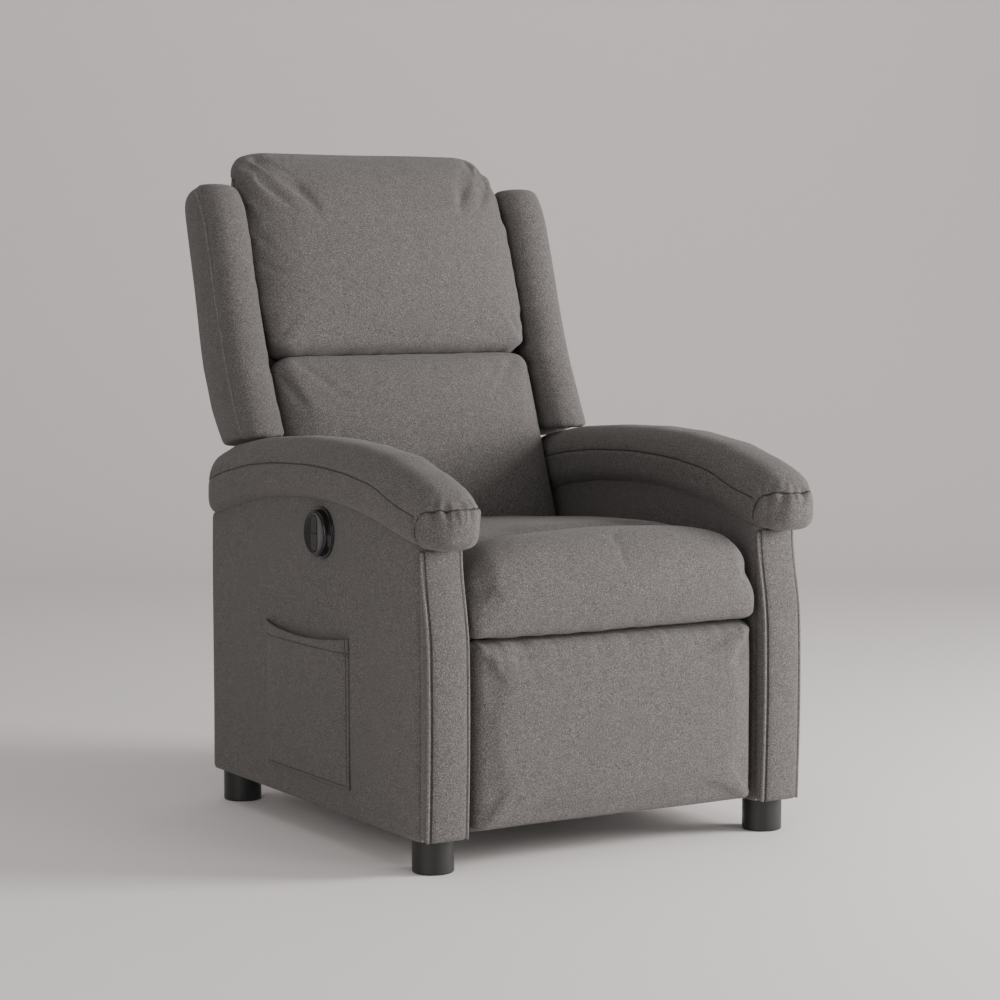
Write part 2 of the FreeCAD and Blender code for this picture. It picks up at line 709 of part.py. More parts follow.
def make_pocket():
    """Flat pocket sewn to the right arm's outer side; its top edge sags between the corners."""
    front = size("pocket_front")
    rear = size("pocket_rear")
    bottom = size("pocket_bottom")
    top = size("pocket_top")
    cloth = size("pocket_cloth") + 1
    sag = 12.0
    middle = (front + rear) / 2
    low = "-Sheet.half_width - Sheet.pocket_swell"
    pocket = new_body("side_pocket")
    across(pocket, chain((front, bottom), (rear, bottom), (rear, top),
                         (middle, top - sag, front, top), (front, bottom)),
           low, "-Sheet.half_width")
    carve(pocket, chain((front + cloth, bottom + cloth), (rear - cloth, bottom + cloth),
                        (rear - cloth, top + 20), (front + cloth, top + 20),
                        (front + cloth, bottom + cloth)),
          low + " + Sheet.pocket_cloth", "-Sheet.half_width")


# ---------------------------------------------------------------- the chair

for arm_name, arm_side in SIDES:
    make_arm(arm_name, arm_side)
    make_side_plate(arm_name, arm_side)
    make_links(arm_name, arm_side)
make_feet()
make_plate_bolts()
make_base_frame()
make_springs()
make_seat()
make_back()
make_shaft("footrest_cross_shaft", REAR_PIVOT, "Sheet.footrest_drive_side", 45.0, 19.0,
           "Sheet.plane_swing")
make_shaft("back_cross_shaft", BACK_PIVOT, "Sheet.recline_drive_side", 15.0, 11.0,
           "Sheet.plane_carry")
FOOTREST_DROP = REAR_PIVOT.z - size("drive_line")
make_drive_block("footrest_drive_block", "Sheet.footrest_drive_side",
                 REAR_PIVOT.y + FOOTREST_DROP)
RECLINE_DROP = BACK_PIVOT.z - size("drive_line")
make_drive_block("recline_drive_block", "Sheet.recline_drive_side",
                 BACK_PIVOT.y + RECLINE_DROP * math.tan(math.radians(15.0)))
make_footrest()
make_control()
make_pocket()
doc.recompute()

for obj in doc.Objects:
    if "Invalid" in obj.State or "Error" in obj.State:
        raise RuntimeError("%s (%s) failed: %s" % (obj.Name, obj.Label, obj.State))
for obj in nodes:
    if obj.Shape.isNull() or not obj.Shape.isValid():
        raise RuntimeError(obj.Label + " has no valid shape")

os.makedirs("parts", exist_ok=True)
for obj in nodes:
    obj.Shape.exportStep(os.path.join("parts", obj.Label + ".step"))
print(len(nodes), "pieces written")
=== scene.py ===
"""Looks of the recliner armchair: upholstery, control, stage, light and camera.

Metres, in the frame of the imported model: the chair faces -Y and "right" is the sitter's right, at -X.
Depths are counted from the front line of the arms, as in the model.
"""

import json
import math

import bmesh
import bpy
import numpy as np
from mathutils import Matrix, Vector, noise


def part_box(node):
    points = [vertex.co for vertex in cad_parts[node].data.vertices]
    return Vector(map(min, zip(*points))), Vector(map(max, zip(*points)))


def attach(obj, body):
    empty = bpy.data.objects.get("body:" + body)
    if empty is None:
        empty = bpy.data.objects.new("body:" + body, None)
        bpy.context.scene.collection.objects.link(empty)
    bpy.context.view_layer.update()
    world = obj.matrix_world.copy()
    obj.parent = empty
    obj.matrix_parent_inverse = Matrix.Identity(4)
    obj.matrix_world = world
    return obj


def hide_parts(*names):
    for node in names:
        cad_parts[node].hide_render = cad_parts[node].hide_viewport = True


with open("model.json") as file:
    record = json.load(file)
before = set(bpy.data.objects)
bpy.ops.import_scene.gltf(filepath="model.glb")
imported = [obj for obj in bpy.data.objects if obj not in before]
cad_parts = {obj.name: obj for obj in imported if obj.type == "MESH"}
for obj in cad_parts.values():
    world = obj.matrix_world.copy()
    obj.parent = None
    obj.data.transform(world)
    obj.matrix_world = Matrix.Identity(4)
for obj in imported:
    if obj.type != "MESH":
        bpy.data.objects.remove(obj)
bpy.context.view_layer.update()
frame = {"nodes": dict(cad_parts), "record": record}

SIDES = (("right", -1), ("left", 1))
STRIP_DEPTH = 0.024
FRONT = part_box("right_arm_frame")[0].y - STRIP_DEPTH
ARM_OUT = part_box("left_arm_outer_panel")[1].x
ARM_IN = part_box("left_arm_inner_panel")[0].x
ARM_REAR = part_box("left_arm_outer_panel")[1].y - FRONT
ARM_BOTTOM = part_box("left_arm_outer_panel")[0].z
ARM_MIDDLE = (ARM_IN + ARM_OUT) / 2
# The seam across the back is where the back's tilted frame (x, behind, up) starts.
TILT = math.radians(20)
SEAM_DEPTH = 0.656
SEAM_HEIGHT = 0.726

# ---------------------------------------------------------------- camera

LENS = 96.71
CAMERA_PLACE = Vector((-2.1749, FRONT - 3.2603, 0.86165))
CAMERA_TARGET = Vector((-0.00982, FRONT + 0.330, 0.5029))


def make_camera():
    """Camera at the photograph's place and focal length."""
    data = bpy.data.cameras.new("camera")
    data.lens = LENS
    data.sensor_width = 36
    data.clip_end = 40
    camera = bpy.data.objects.new("camera", data)
    camera.location = CAMERA_PLACE
    camera.rotation_euler = (CAMERA_TARGET - CAMERA_PLACE).to_track_quat("-Z", "Y").to_euler()
    bpy.context.collection.objects.link(camera)
    bpy.context.scene.camera = camera


# ---------------------------------------------------------------- mesh helpers

def smooth(t):
    """Ease from 0 to 1 as t goes from 0 to 1."""
    t = np.clip(t, 0, 1)
    return t * t * (3 - 2 * t)


def near(distance, width):
    """A soft bump: 1 where distance is 0, falling off over width."""
    return np.exp(-(distance / width) ** 2)


def field(points, scale, seed):
    """Smooth noise between about -1 and 1 at each point; scale is one number or one per axis."""
    moved = np.asarray(points) * np.asarray(scale) + seed * 7.31
    return np.array([noise.noise(Vector(p)) for p in moved])


def make_piece(name, points, faces, material, body):
    """Build a smooth mesh object that rides on a body."""
    mesh = bpy.data.meshes.new(name)
    mesh.from_pydata([tuple(p) for p in points], [], faces)
    mesh.update()
    mesh.polygons.foreach_set("use_smooth", [True] * len(mesh.polygons))
    piece = bpy.data.objects.new(name, mesh)
    bpy.context.collection.objects.link(piece)
    mesh.materials.append(material)
    fix = bmesh.new()
    fix.from_mesh(mesh)
    bmesh.ops.recalc_face_normals(fix, faces=fix.faces)
    fix.to_mesh(mesh)
    fix.free()
    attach(piece, body)
    return piece


def coords(piece):
    """The vertex positions of a piece as an array."""
    data = np.empty(len(piece.data.vertices) * 3)
    piece.data.vertices.foreach_get("co", data)
    return data.reshape(-1, 3)


def normals(piece):
    """The vertex normals of a piece as an array."""
    data = np.empty(len(piece.data.vertices) * 3)
    piece.data.vertices.foreach_get("normal", data)
    return data.reshape(-1, 3)


def set_coords(piece, points):
    """Move the vertices of a piece."""
    piece.data.vertices.foreach_set("co", np.asarray(points).ravel())
    piece.data.update()


def push(piece, amount):
    """Move each vertex along its normal."""
    set_coords(piece, coords(piece) + normals(piece) * amount[:, None])


def mark_seam(piece, distance, strength):
    """Store each vertex's signed distance to a sewn line, and how much of the line's groove and painted
    shade shows there.
    """
    for label, values in (("seam_distance", distance), ("seam_groove_and_shade", np.clip(strength, 0, 1))):
        attribute = piece.data.attributes.new(label, "FLOAT", "POINT")
        attribute.data.foreach_set("value", np.asarray(values, dtype=np.float32))


def box_surface(half, step):
    """Points and quads on the surface of a box with the given half sizes, about a step apart."""
    counts = [max(2, round(2 * h / step)) for h in half]
    index = {}
    points = []
    faces = []

    def corner(i, j, k):
        key = (i, j, k)
        if key not in index:
            index[key] = len(points)
            points.append([h * (2 * n / c - 1) for h, n, c in zip(half, key, counts)])
        return index[key]

    for axis in range(3):
        one, two = [a for a in range(3) if a != axis]
        for end in (0, counts[axis]):
            for i in range(counts[one]):
                for j in range(counts[two]):
                    quad = []
                    for di, dj in ((0, 0), (1, 0), (1, 1), (0, 1)):
                        key = [0, 0, 0]
                        key[axis] = end
                        key[one] = i + di
                        key[two] = j + dj
                        quad.append(corner(*key))
                    faces.append(quad)
    return np.array(points), faces


def round_box(points, half, radius):
    """Round a box surface's edges; radius is one number per axis, or one row per point."""
    radius = np.broadcast_to(np.asarray(radius, float), points.shape)
    inner = np.asarray(half) - radius
    core = np.clip(points, -inner, inner)
    away = (points - core) / radius
    length = np.linalg.norm(away, axis=1, keepdims=True)
    unit = np.divide(away, length, out=np.zeros_like(away), where=length > 1e-9)
    return core + unit * radius


def soft_block(half, radius, step=0.006):
    """A rounded box, with its points also as shares of the half sizes."""
    points, faces = box_surface(half, step)
    shares = points / np.asarray(half)
    return round_box(points, half, radius), shares, faces


def tilted(x, behind, up):
    """Points of the back's tilted frame, in the chair's frame."""
    return np.stack([
        x,
        FRONT + SEAM_DEPTH + behind * math.cos(TILT) + up * math.sin(TILT),
        SEAM_HEIGHT - behind * math.sin(TILT) + up * math.cos(TILT)], axis=-1)


def loft(sections):
    """Close a row of equal loops of points into one skin; each end shrinks to its middle."""
    count = len(sections[0])
    points = [p for section in sections for p in section]
    faces = []
    for row in range(len(sections) - 1):
        for i in range(count):
            a = row * count + i
            b = row * count + (i + 1) % count
            faces.append([a, b, b + count, a + count])
    for row, flip in ((0, True), (len(sections) - 1, False)):
        loop = [row * count + i for i in range(count)]
        faces.append(loop[::-1] if flip else loop)
    return np.array(points), faces


def tube(name, line, radius, material, body, segments=8):
    """A closed round cord along a line of points, for piping."""
    line = np.asarray(line, float)
    ahead = np.gradient(line, axis=0)
    ahead /= np.linalg.norm(ahead, axis=1, keepdims=True)
    reference = np.array([1.0, 0.0, 0.0])
    if abs(ahead[:, 0]).max() > 0.9:
        reference = np.array([0.0, 0.0, 1.0])
    side = np.cross(ahead, reference)
    side /= np.linalg.norm(side, axis=1, keepdims=True)
    other = np.cross(ahead, side)
    sections = []
    for centre, a, b in zip(line, side, other):
        turn = [2 * math.pi * n / segments for n in range(segments)]
        sections.append([centre + radius * (math.cos(t) * a + math.sin(t) * b) for t in turn])
    points, faces = loft(sections)
    return make_piece(name, points, faces, material, body)


SWELL_PRESSURE = 4.0
SWELL_FRAMES = 20


def swell(piece, held, cap):
    """Blow a cover up like stuffed cloth, by cap at most; held is 1 where a vertex can't move."""
    start = coords(piece)
    group = piece.vertex_groups.new(name="held")
    for level in np.unique(np.round(held, 1)):
        if level > 0:
            chosen = np.nonzero(np.abs(held - level) < 0.051)[0].tolist()
            group.add(chosen, float(level), "REPLACE")
    cloth = piece.modifiers.new("cloth", "CLOTH")
    settings = cloth.settings
    settings.quality = 6
    settings.mass = 0.25
    settings.tension_stiffness = 12
    settings.compression_stiffness = 12
    settings.shear_stiffness = 4
    settings.bending_stiffness = 0.6
    settings.use_pressure = True
    settings.uniform_pressure_force = SWELL_PRESSURE
    settings.effector_weights.gravity = 0
    settings.vertex_group_mass = "held"
    cloth.collision_settings.use_collision = False
    cloth.point_cache.frame_end = SWELL_FRAMES
    scene = bpy.context.scene
    for number in range(1, SWELL_FRAMES + 1):
        scene.frame_set(number)
    evaluated = piece.evaluated_get(bpy.context.evaluated_depsgraph_get())
    data = np.empty(len(evaluated.data.vertices) * 3)
    evaluated.data.vertices.foreach_get("co", data)
    moved = data.reshape(-1, 3) - start
    piece.modifiers.clear()
    piece.vertex_groups.clear()
    scene.frame_set(1)
    length = np.linalg.norm(moved, axis=1, keepdims=True)
    limit = np.minimum(1, cap / np.maximum(length, 1e-9))
    set_coords(piece, start + moved * limit)


def refine(piece):
    """Subdivide a piece once, smoothly."""
    modifier = piece.modifiers.new("refine", "SUBSURF")
    modifier.levels = 1
    modifier.render_levels = 1
    bpy.context.view_layer.objects.active = piece
    evaluated = piece.evaluated_get(bpy.context.evaluated_depsgraph_get())
    mesh = bpy.data.meshes.new_from_object(evaluated)
    piece.modifiers.clear()
    old = piece.data
    piece.data = mesh
    bpy.data.meshes.remove(old)
    mesh.name = piece.name


# ---------------------------------------------------------------- materials

def new_material(name):
    """An empty node material with its shader and output."""
    material = bpy.data.materials.new(name)
    material.use_nodes = True
    tree = material.node_tree
    tree.nodes.clear()
    output = tree.nodes.new("ShaderNodeOutputMaterial")
    shader = tree.nodes.new("ShaderNodeBsdfPrincipled")
    tree.links.new(shader.outputs["BSDF"], output.inputs["Surface"])
    return material, tree, shader


def add_noise(tree, vector, scale, detail=2.0, roughness=0.5):
    """A noise texture node on a vector."""
    node = tree.nodes.new("ShaderNodeTexNoise")
    node.inputs["Scale"].default_value = scale
    node.inputs["Detail"].default_value = detail
    node.inputs["Roughness"].default_value = roughness
    tree.links.new(vector, node.inputs["Vector"])
    return node.outputs["Fac"]


def stretch(tree, vector, scale):
    """A vector scaled per axis."""
    node = tree.nodes.new("ShaderNodeMapping")
    node.inputs["Scale"].default_value = scale
    tree.links.new(vector, node.inputs["Vector"])
    return node.outputs["Vector"]


def math_node(tree, operation, first, second):
    """A math node on two sockets or numbers."""
    node = tree.nodes.new("ShaderNodeMath")
    node.operation = operation
    for socket, value in zip(node.inputs, (first, second)):
        if isinstance(value, (int, float)):
            socket.default_value = value
        else:
            tree.links.new(value, socket)
    return node.outputs[0]


def ramp(tree, value, stops):
    """A colour ramp; stops are (position, colour)."""
    node = tree.nodes.new("ShaderNodeValToRGB")
    while len(node.color_ramp.elements) < len(stops):
        node.color_ramp.elements.new(0.5)
    for element, (position, colour) in zip(node.color_ramp.elements, stops):
        element.position = position
        element.color = (*colour, 1)
    tree.links.new(value, node.inputs["Fac"])
    return node.outputs["Color"]


def bump(tree, shader, height, distance, strength=1.0):
    """Feed a height into the shader's normal."""
    node = tree.nodes.new("ShaderNodeBump")
    node.inputs["Strength"].default_value = strength
    node.inputs["Distance"].default_value = distance
    tree.links.new(height, node.inputs["Height"])
    tree.links.new(node.outputs["Normal"], shader.inputs["Normal"])


YARN_SCALE = 980
FLECK_SCALE = 620
MOTTLE_SCALE = 60
# Half widths of the seam line, which is a bumped groove with painted shade in it.
GROOVE_SHADE_CORE = 0.0005
GROOVE_SHADE_EDGE = 0.0019
# Painted shade: the colour multiplied into the cloth in the groove along a seam.
PAINTED_SHADE_AT_SEAMS = (0.22, 0.21, 0.20, 1)
SHEEN_TINT = (0.95, 0.93, 0.9, 1)


def make_fabric(name, tint):
    """Heathered woven cloth: flecks of yarn along warp and weft, and along its seams a bumped groove
    with painted shade in its colour.
    """
    material, tree, shader = new_material(name)
    place = tree.nodes.new("ShaderNodeTexCoord").outputs["Object"]
    upright = add_noise(tree, stretch(tree, place, (1, 1, 0.34)), YARN_SCALE, 2, 0.6)
    level = add_noise(tree, stretch(tree, place, (0.34, 0.5, 1)), YARN_SCALE, 2, 0.6)
    fleck = add_noise(tree, place, FLECK_SCALE, 1, 0.5)
    mottle = add_noise(tree, place, MOTTLE_SCALE, 3, 0.55)
    yarn = math_node(tree, "ADD", math_node(tree, "MULTIPLY", upright, 0.5),
                     math_node(tree, "MULTIPLY", level, 0.5))
    yarn = math_node(tree, "ADD", math_node(tree, "MULTIPLY", yarn, 0.66),
                     math_node(tree, "MULTIPLY", fleck, 0.34))
    tone = math_node(tree, "ADD", math_node(tree, "MULTIPLY", yarn, 0.95),
                     math_node(tree, "MULTIPLY", mottle, 0.05))
    colour = ramp(tree, tone, [(0.36, tuple(0.42 * c for c in tint)), (0.50, tint),
                               (0.64, tuple(min(1, 2.0 * c) for c in tint))])
    distance = tree.nodes.new("ShaderNodeAttribute")
    distance.attribute_name = "seam_distance"
    strength = tree.nodes.new("ShaderNodeAttribute")
    strength.attribute_name = "seam_groove_and_shade"
    away = math_node(tree, "ABSOLUTE", distance.outputs["Fac"], 0)
    groove_shade_falloff = tree.nodes.new("ShaderNodeMapRange")
    groove_shade_falloff.interpolation_type = "SMOOTHSTEP"
    groove_shade_falloff.inputs["From Min"].default_value = GROOVE_SHADE_CORE
    groove_shade_falloff.inputs["From Max"].default_value = GROOVE_SHADE_EDGE
    groove_shade_falloff.inputs["To Min"].default_value = 1
    groove_shade_falloff.inputs["To Max"].default_value = 0
    tree.links.new(away, groove_shade_falloff.inputs["Value"])
    # The seam line: painted shade darkens the colour here, and the same line is bumped in as a groove
    # below.
    line = math_node(tree, "MULTIPLY", groove_shade_falloff.outputs["Result"], strength.outputs["Fac"])
    seam_shade_paint = tree.nodes.new("ShaderNodeMixRGB")
    seam_shade_paint.blend_type = "MULTIPLY"
    tree.links.new(math_node(tree, "MULTIPLY", line, 0.8), seam_shade_paint.inputs["Fac"])
    tree.links.new(colour, seam_shade_paint.inputs["Color1"])
    seam_shade_paint.inputs["Color2"].default_value = PAINTED_SHADE_AT_SEAMS
    tree.links.new(seam_shade_paint.outputs["Color"], shader.inputs["Base Color"])
    shader.inputs["Roughness"].default_value = 0.92
    shader.inputs["Specular IOR Level"].default_value = 0.25
    shader.inputs["Sheen Weight"].default_value = 0.12
    shader.inputs["Sheen Roughness"].default_value = 0.5
    shader.inputs["Sheen Tint"].default_value = SHEEN_TINT
    height = math_node(tree, "SUBTRACT", yarn, math_node(tree, "MULTIPLY", line, 1.4))
    bump(tree, shader, height, 0.0010, 0.8)
    return material


def make_plastic(name, colour, roughness, grain, depth):
    """Moulded plastic with a fine grain, bumped by depth in metres, and faint wear in its gloss."""
    material, tree, shader = new_material(name)
    place = tree.nodes.new("ShaderNodeTexCoord").outputs["Object"]
    fine = add_noise(tree, place, grain, 3, 0.6)
    wear = add_noise(tree, place, 24, 4, 0.6)
    shader.inputs["Base Color"].default_value = (*colour, 1)
    tree.links.new(ramp(tree, wear, [(0.35, (roughness * 0.8,) * 3), (0.7, (roughness * 1.25,) * 3)]),
                   shader.inputs["Roughness"])
    bump(tree, shader, fine, depth, 0.6)
    return material


def make_metal(name, colour, metallic, roughness):
    """Painted or bare steel with small marks."""
    material, tree, shader = new_material(name)
    place = tree.nodes.new("ShaderNodeTexCoord").outputs["Object"]
    marks = add_noise(tree, stretch(tree, place, (4, 0.4, 4)), 90, 4, 0.6)
    shader.inputs["Metallic"].default_value = metallic
    darker = tuple(0.8 * c for c in colour)
    tree.links.new(ramp(tree, marks, [(0.3, darker), (0.65, colour)]), shader.inputs["Base Color"])
    tree.links.new(ramp(tree, marks, [(0.3, (roughness * 1.2,) * 3), (0.7, (roughness * 0.85,) * 3)]),
                   shader.inputs["Roughness"])
    bump(tree, shader, marks, 0.0002, 0.4)
    return material


def make_wood(name, light, dark):
    """Plain timber with long grain."""
    material, tree, shader = new_material(name)
    place = tree.nodes.new("ShaderNodeTexCoord").outputs["Object"]
    grain = add_noise(tree, stretch(tree, place, (9, 1, 9)), 22, 5, 0.6)
    tree.links.new(ramp(tree, grain, [(0.35, dark), (0.65, light)]), shader.inputs["Base Color"])
    shader.inputs["Roughness"].default_value = 0.6
    bump(tree, shader, grain, 0.0004, 0.5)
    return material


FABRIC = make_fabric("grey_fabric_weave", (0.109, 0.1012, 0.0980))
PIPING = make_fabric("grey_piping_weave", (0.150, 0.140, 0.135))


# ---------------------------------------------------------------- arms

ARCH_CROWN = 0.521
ARCH_MIDDLE = 0.352
ARCH_RADIUS = 1.150


def arch(depth):
    """Height of the arm's arched top at a depth."""
    return ARCH_CROWN - ARCH_RADIUS + np.sqrt(ARCH_RADIUS ** 2 - (depth - ARCH_MIDDLE) ** 2)


def strip_face(height):
    """Depth of the front strip's face at a height: upright below, bowed, leaning back on top."""
    t = np.clip((height - ARM_BOTTOM) / (arch(0.0) - ARM_BOTTOM), 0, 1)
    return -0.0045 * np.sin(np.pi * np.clip(t / 0.85, 0, 1)) + 0.017 * smooth((t - 0.62) / 0.38) ** 1.4


def make_arm_cover(name, side):
    """Cover on both sides, bottom and rear of an arm, in one piece."""
    overlap = 0.002
    pull_in = 0.002
    into_pad = 0.004
    below = 0.0015
    depth = (ARM_REAR - STRIP_DEPTH + overlap) / 2
    half = ((ARM_OUT - ARM_IN) / 2 - 0.0004, depth, 0.23)
    points, shares, faces = soft_block(half, (0.007, 0.009, 0.005), 0.008)
    rise = (points[:, 2] / half[2] + 1) / 2
    rear_share = smooth((shares[:, 1] - 0.6) / 0.4)
    y = STRIP_DEPTH - overlap + depth + points[:, 1]
    y = y - pull_in * rear_share * smooth((rise - 0.86) / 0.14)
    top = arch(y) + into_pad
    z = ARM_BOTTOM - below + rise * (top - ARM_BOTTOM + below)
    belly = (1 - shares[:, 1] ** 2) * (1 - shares[:, 2] ** 2)
    x = points[:, 0] * (1 + 0.055 * belly)
    world = np.stack([side * (ARM_MIDDLE + x), FRONT + y, z], axis=-1)
    world[:, 0] += 0.0006 * field(world, (1, 9, 9), 3 + side)
    cover = make_piece(name + "_arm_cover", world, faces, FABRIC, "base")
    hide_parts(name + "_arm_outer_panel", name + "_arm_inner_panel")


def make_front_strip(name, side):
    """Padded strip on the arm's front with piping down both edges."""
    half = ((ARM_OUT - ARM_IN) / 2 - 0.001, 0.014, 0.21)
    points, _, faces = soft_block(half, (0.012, 0.010, 0.006), 0.005)
    rise = (points[:, 2] / half[2] + 1) / 2
    z = ARM_BOTTOM + 0.0005 + rise * (arch(0.010) - 0.002 - ARM_BOTTOM)
    face = strip_face(z) + 0.0008
    rear = STRIP_DEPTH + 0.001
    go = (points[:, 1] / half[1] + 1) / 2
    crown = 0.0035 * (1 - (points[:, 0] / half[0]) ** 2) * (1 - go)
    y = face + go * (rear - face) - crown
    world = np.stack([side * ARM_MIDDLE + points[:, 0], FRONT + y, z], axis=-1)
    strip = make_piece(name + "_arm_front_strip_cover", world, faces, FABRIC, "base")
    push(strip, 0.0005 * field(world, 26, 11 + side))
    # Along both edge seams the material bumps in a groove and darkens it with painted shade.
    edge = half[0] - 0.0062 - np.abs(coords(strip)[:, 0] - side * ARM_MIDDLE)
    mark_seam(strip, edge, smooth((0.012 - coords(strip)[:, 1] + FRONT + face) / 0.004))
    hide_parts(name + "_arm_front_strip")
    count = 60
    heights = np.linspace(ARM_BOTTOM + 0.002, arch(0.0) - 0.001, count)
    for label, edge in (("inner", ARM_IN + 0.0035), ("outer", ARM_OUT - 0.0035)):
        front = FRONT + strip_face(heights) + 0.0036
        line = np.stack([np.full(count, side * edge), front, heights], axis=-1)
        piping = tube("%s_strip_%s_piping" % (name, label), line, 0.0024, PIPING, "base")


PAD_CREST = ((-0.0450, 0.505), (-0.0440, 0.516), (-0.0380, 0.529), (-0.0230, 0.5455), (0.000, 0.5600),
             (0.040, 0.5745), (0.119, 0.5955), (0.218, 0.607), (0.320, 0.6105), (0.428, 0.608),
             (0.540, 0.600), (0.634, 0.5855), (0.690, 0.567), (0.718, 0.548), (0.7275, 0.520))
PAD_BELOW = ((-0.0450, 0.503), (-0.0440, 0.490), (-0.0375, 0.4775), (-0.0240, 0.4700), (-0.006, 0.4675),
             (0.043, 0.4725), (0.081, 0.4815), (0.145, 0.4955), (0.212, 0.5065), (0.281, 0.5130),
             (0.352, 0.5150), (0.462, 0.5100), (0.538, 0.4995), (0.609, 0.484), (0.658, 0.472),
             (0.700, 0.4640), (0.722, 0.476), (0.7275, 0.516))
PAD_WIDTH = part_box("left_arm_pad")[1].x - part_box("left_arm_pad")[0].x
PAD_MIDDLE = (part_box("left_arm_pad")[1].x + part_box("left_arm_pad")[0].x) / 2
PAD_FRONT = -0.0450
PAD_REAR = 0.7275
NOSE = 0.066
TAIL = 0.070
CAP_DEPTH = 0.061
CAP_LOW = 0.470
CAP_HEIGHT = 0.058
PAD_SQUARE_SIDE = 2.9
PAD_SQUARE_UPPER = 2.35
PAD_SQUARE_LOWER = 3.6


def along_curve(pairs, depth):
    """Height of an outline at a depth, from its (depth, height) points."""
    pairs = np.array(pairs)
    return np.interp(depth, pairs[:, 0], pairs[:, 1])


def make_arm_pad(name, side):
    """Arched pad: a lofted roll with a D-shaped cap, a side seam and puckers at the cap."""
    around = 150
    rows = 250
    share = np.linspace(0, 1, rows)
    eased = 0.5 * (0.5 - 0.5 * np.cos(np.pi * share)) + 0.5 * share
    depth = PAD_FRONT + 0.0002 + (PAD_REAR - PAD_FRONT - 0.0004) * eased
    turn = np.linspace(0, 2 * np.pi, around, endpoint=False)
    cos = np.cos(turn)
    sin = np.sin(turn)
    up = sin > 0
    power = np.where(up, 2 / PAD_SQUARE_UPPER, 2 / PAD_SQUARE_LOWER)
    sections = []
    for y in depth:
        high = along_curve(PAD_CREST, y)
        low = along_curve(PAD_BELOW, y)
        middle = low + 0.44 * (high - low)
        nose = np.clip((y - PAD_FRONT) / NOSE, 0, 1)
        tail = np.clip((PAD_REAR - y) / TAIL, 0, 1)
        plan = (1 - (1 - nose) ** 2.15) ** (1 / 2.15) * (1 - (1 - tail) ** 2.3) ** (1 / 2.3)
        width = (PAD_WIDTH / 2 - 0.0025 * smooth((0.10 - y) / 0.08)) * (0.08 + 0.92 * plan)
        x = width * np.sign(cos) * np.abs(cos) ** (2 / PAD_SQUARE_SIDE)
        reach = np.where(up, high - middle, middle - low)
        z = middle + reach * np.sign(sin) * np.abs(sin) ** power
        sections.append(np.stack([side * PAD_MIDDLE + x, np.full(around, FRONT + y), z], axis=-1))
    points, faces = loft(sections)
    pad = make_piece(name + "_arm_pad_cover", points, faces, FABRIC, "base")
    soften(pad, 5)
    points = coords(pad)
    y = points[:, 1] - FRONT
    crest = along_curve(PAD_CREST, np.maximum(y, 0))
    below = along_curve(PAD_BELOW, np.maximum(y, 0))
    over = points[:, 2] - below - 0.50 * (crest - below) - 0.008 * smooth((y - 0.05) / 0.1)
    flank = smooth((np.abs(points[:, 0] - side * PAD_MIDDLE) / (PAD_WIDTH / 2) - 0.45) / 0.3)
    round_cap = np.clip((y - PAD_FRONT) / CAP_DEPTH, 0, 3) ** 3
    round_cap = round_cap + np.clip((points[:, 2] - CAP_LOW) / CAP_HEIGHT, 0, 3) ** 3
    cap = CAP_HEIGHT * (round_cap ** (1 / 3) - 1)
    ahead = smooth((0.034 - y) / 0.012)
    along_side = (y > 0.012) & (cap > 0) & (np.abs(over) < np.abs(cap))
    distance = np.where(along_side, over, cap)
    strength = np.where(along_side, flank * smooth((y - 0.010) / 0.006), ahead)
    gather = np.exp(-np.abs(cap) / 0.012) * ahead * smooth((points[:, 2] - 0.474) / 0.01)
    creases = field(points, (105, 105, 10), 5 + side)
    lower = np.exp(np.minimum(cap, 0) / 0.022) * (cap < 0) * ahead
    amount = -0.0018 * near(cap, 0.0028) * ahead
    amount -= 0.0010 * near(over, 0.0028) * flank * smooth(y / 0.02)
    amount += 0.0058 * gather * creases + 0.0034 * lower * creases
    for place, slant, long in ((0.676, 0.25, 0.016), (0.640, -0.2, 0.022), (0.606, 0.15, 0.012)):
        fold = near(y - place - slant * over, 0.0036)
        fold = fold * smooth(over / 0.002) * smooth((long - over) / 0.008)
        amount += -0.0030 * fold * flank
    amount += 0.0009 * field(points, 17, 9 + side)
    push(pad, amount)
    # The cap and side seams get a bumped groove and painted shade in the material.
    mark_seam(pad, distance, strength)
    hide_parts(name + "_arm_pad")


def soften(piece, times):
    """Relax a mesh so that its creases and ends round off."""
    mesh = bmesh.new()
    mesh.from_mesh(piece.data)
    caps = [face for face in mesh.faces if len(face.verts) > 4]
    for face in caps:
        bmesh.ops.poke(mesh, faces=[face])
    for _ in range(times):
        bmesh.ops.smooth_vert(mesh, verts=mesh.verts, factor=0.5, use_axis_x=True,
                              use_axis_y=True, use_axis_z=True)
    mesh.to_mesh(piece.data)
    mesh.free()
    piece.data.polygons.foreach_set("use_smooth", [True] * len(piece.data.polygons))
    piece.data.update()


# ---------------------------------------------------------------- seat and footrest

SEAT_HALF = 0.2515
ROLL_REAR = 0.130
SEAT_FRONT = -0.001


def seat_crown(x):
    """How far the seat's top drops towards its sides."""
    t = np.clip(np.abs(x) / SEAT_HALF, 0, 1)
    return 0.012 * t ** 2 + 0.026 * t ** 7


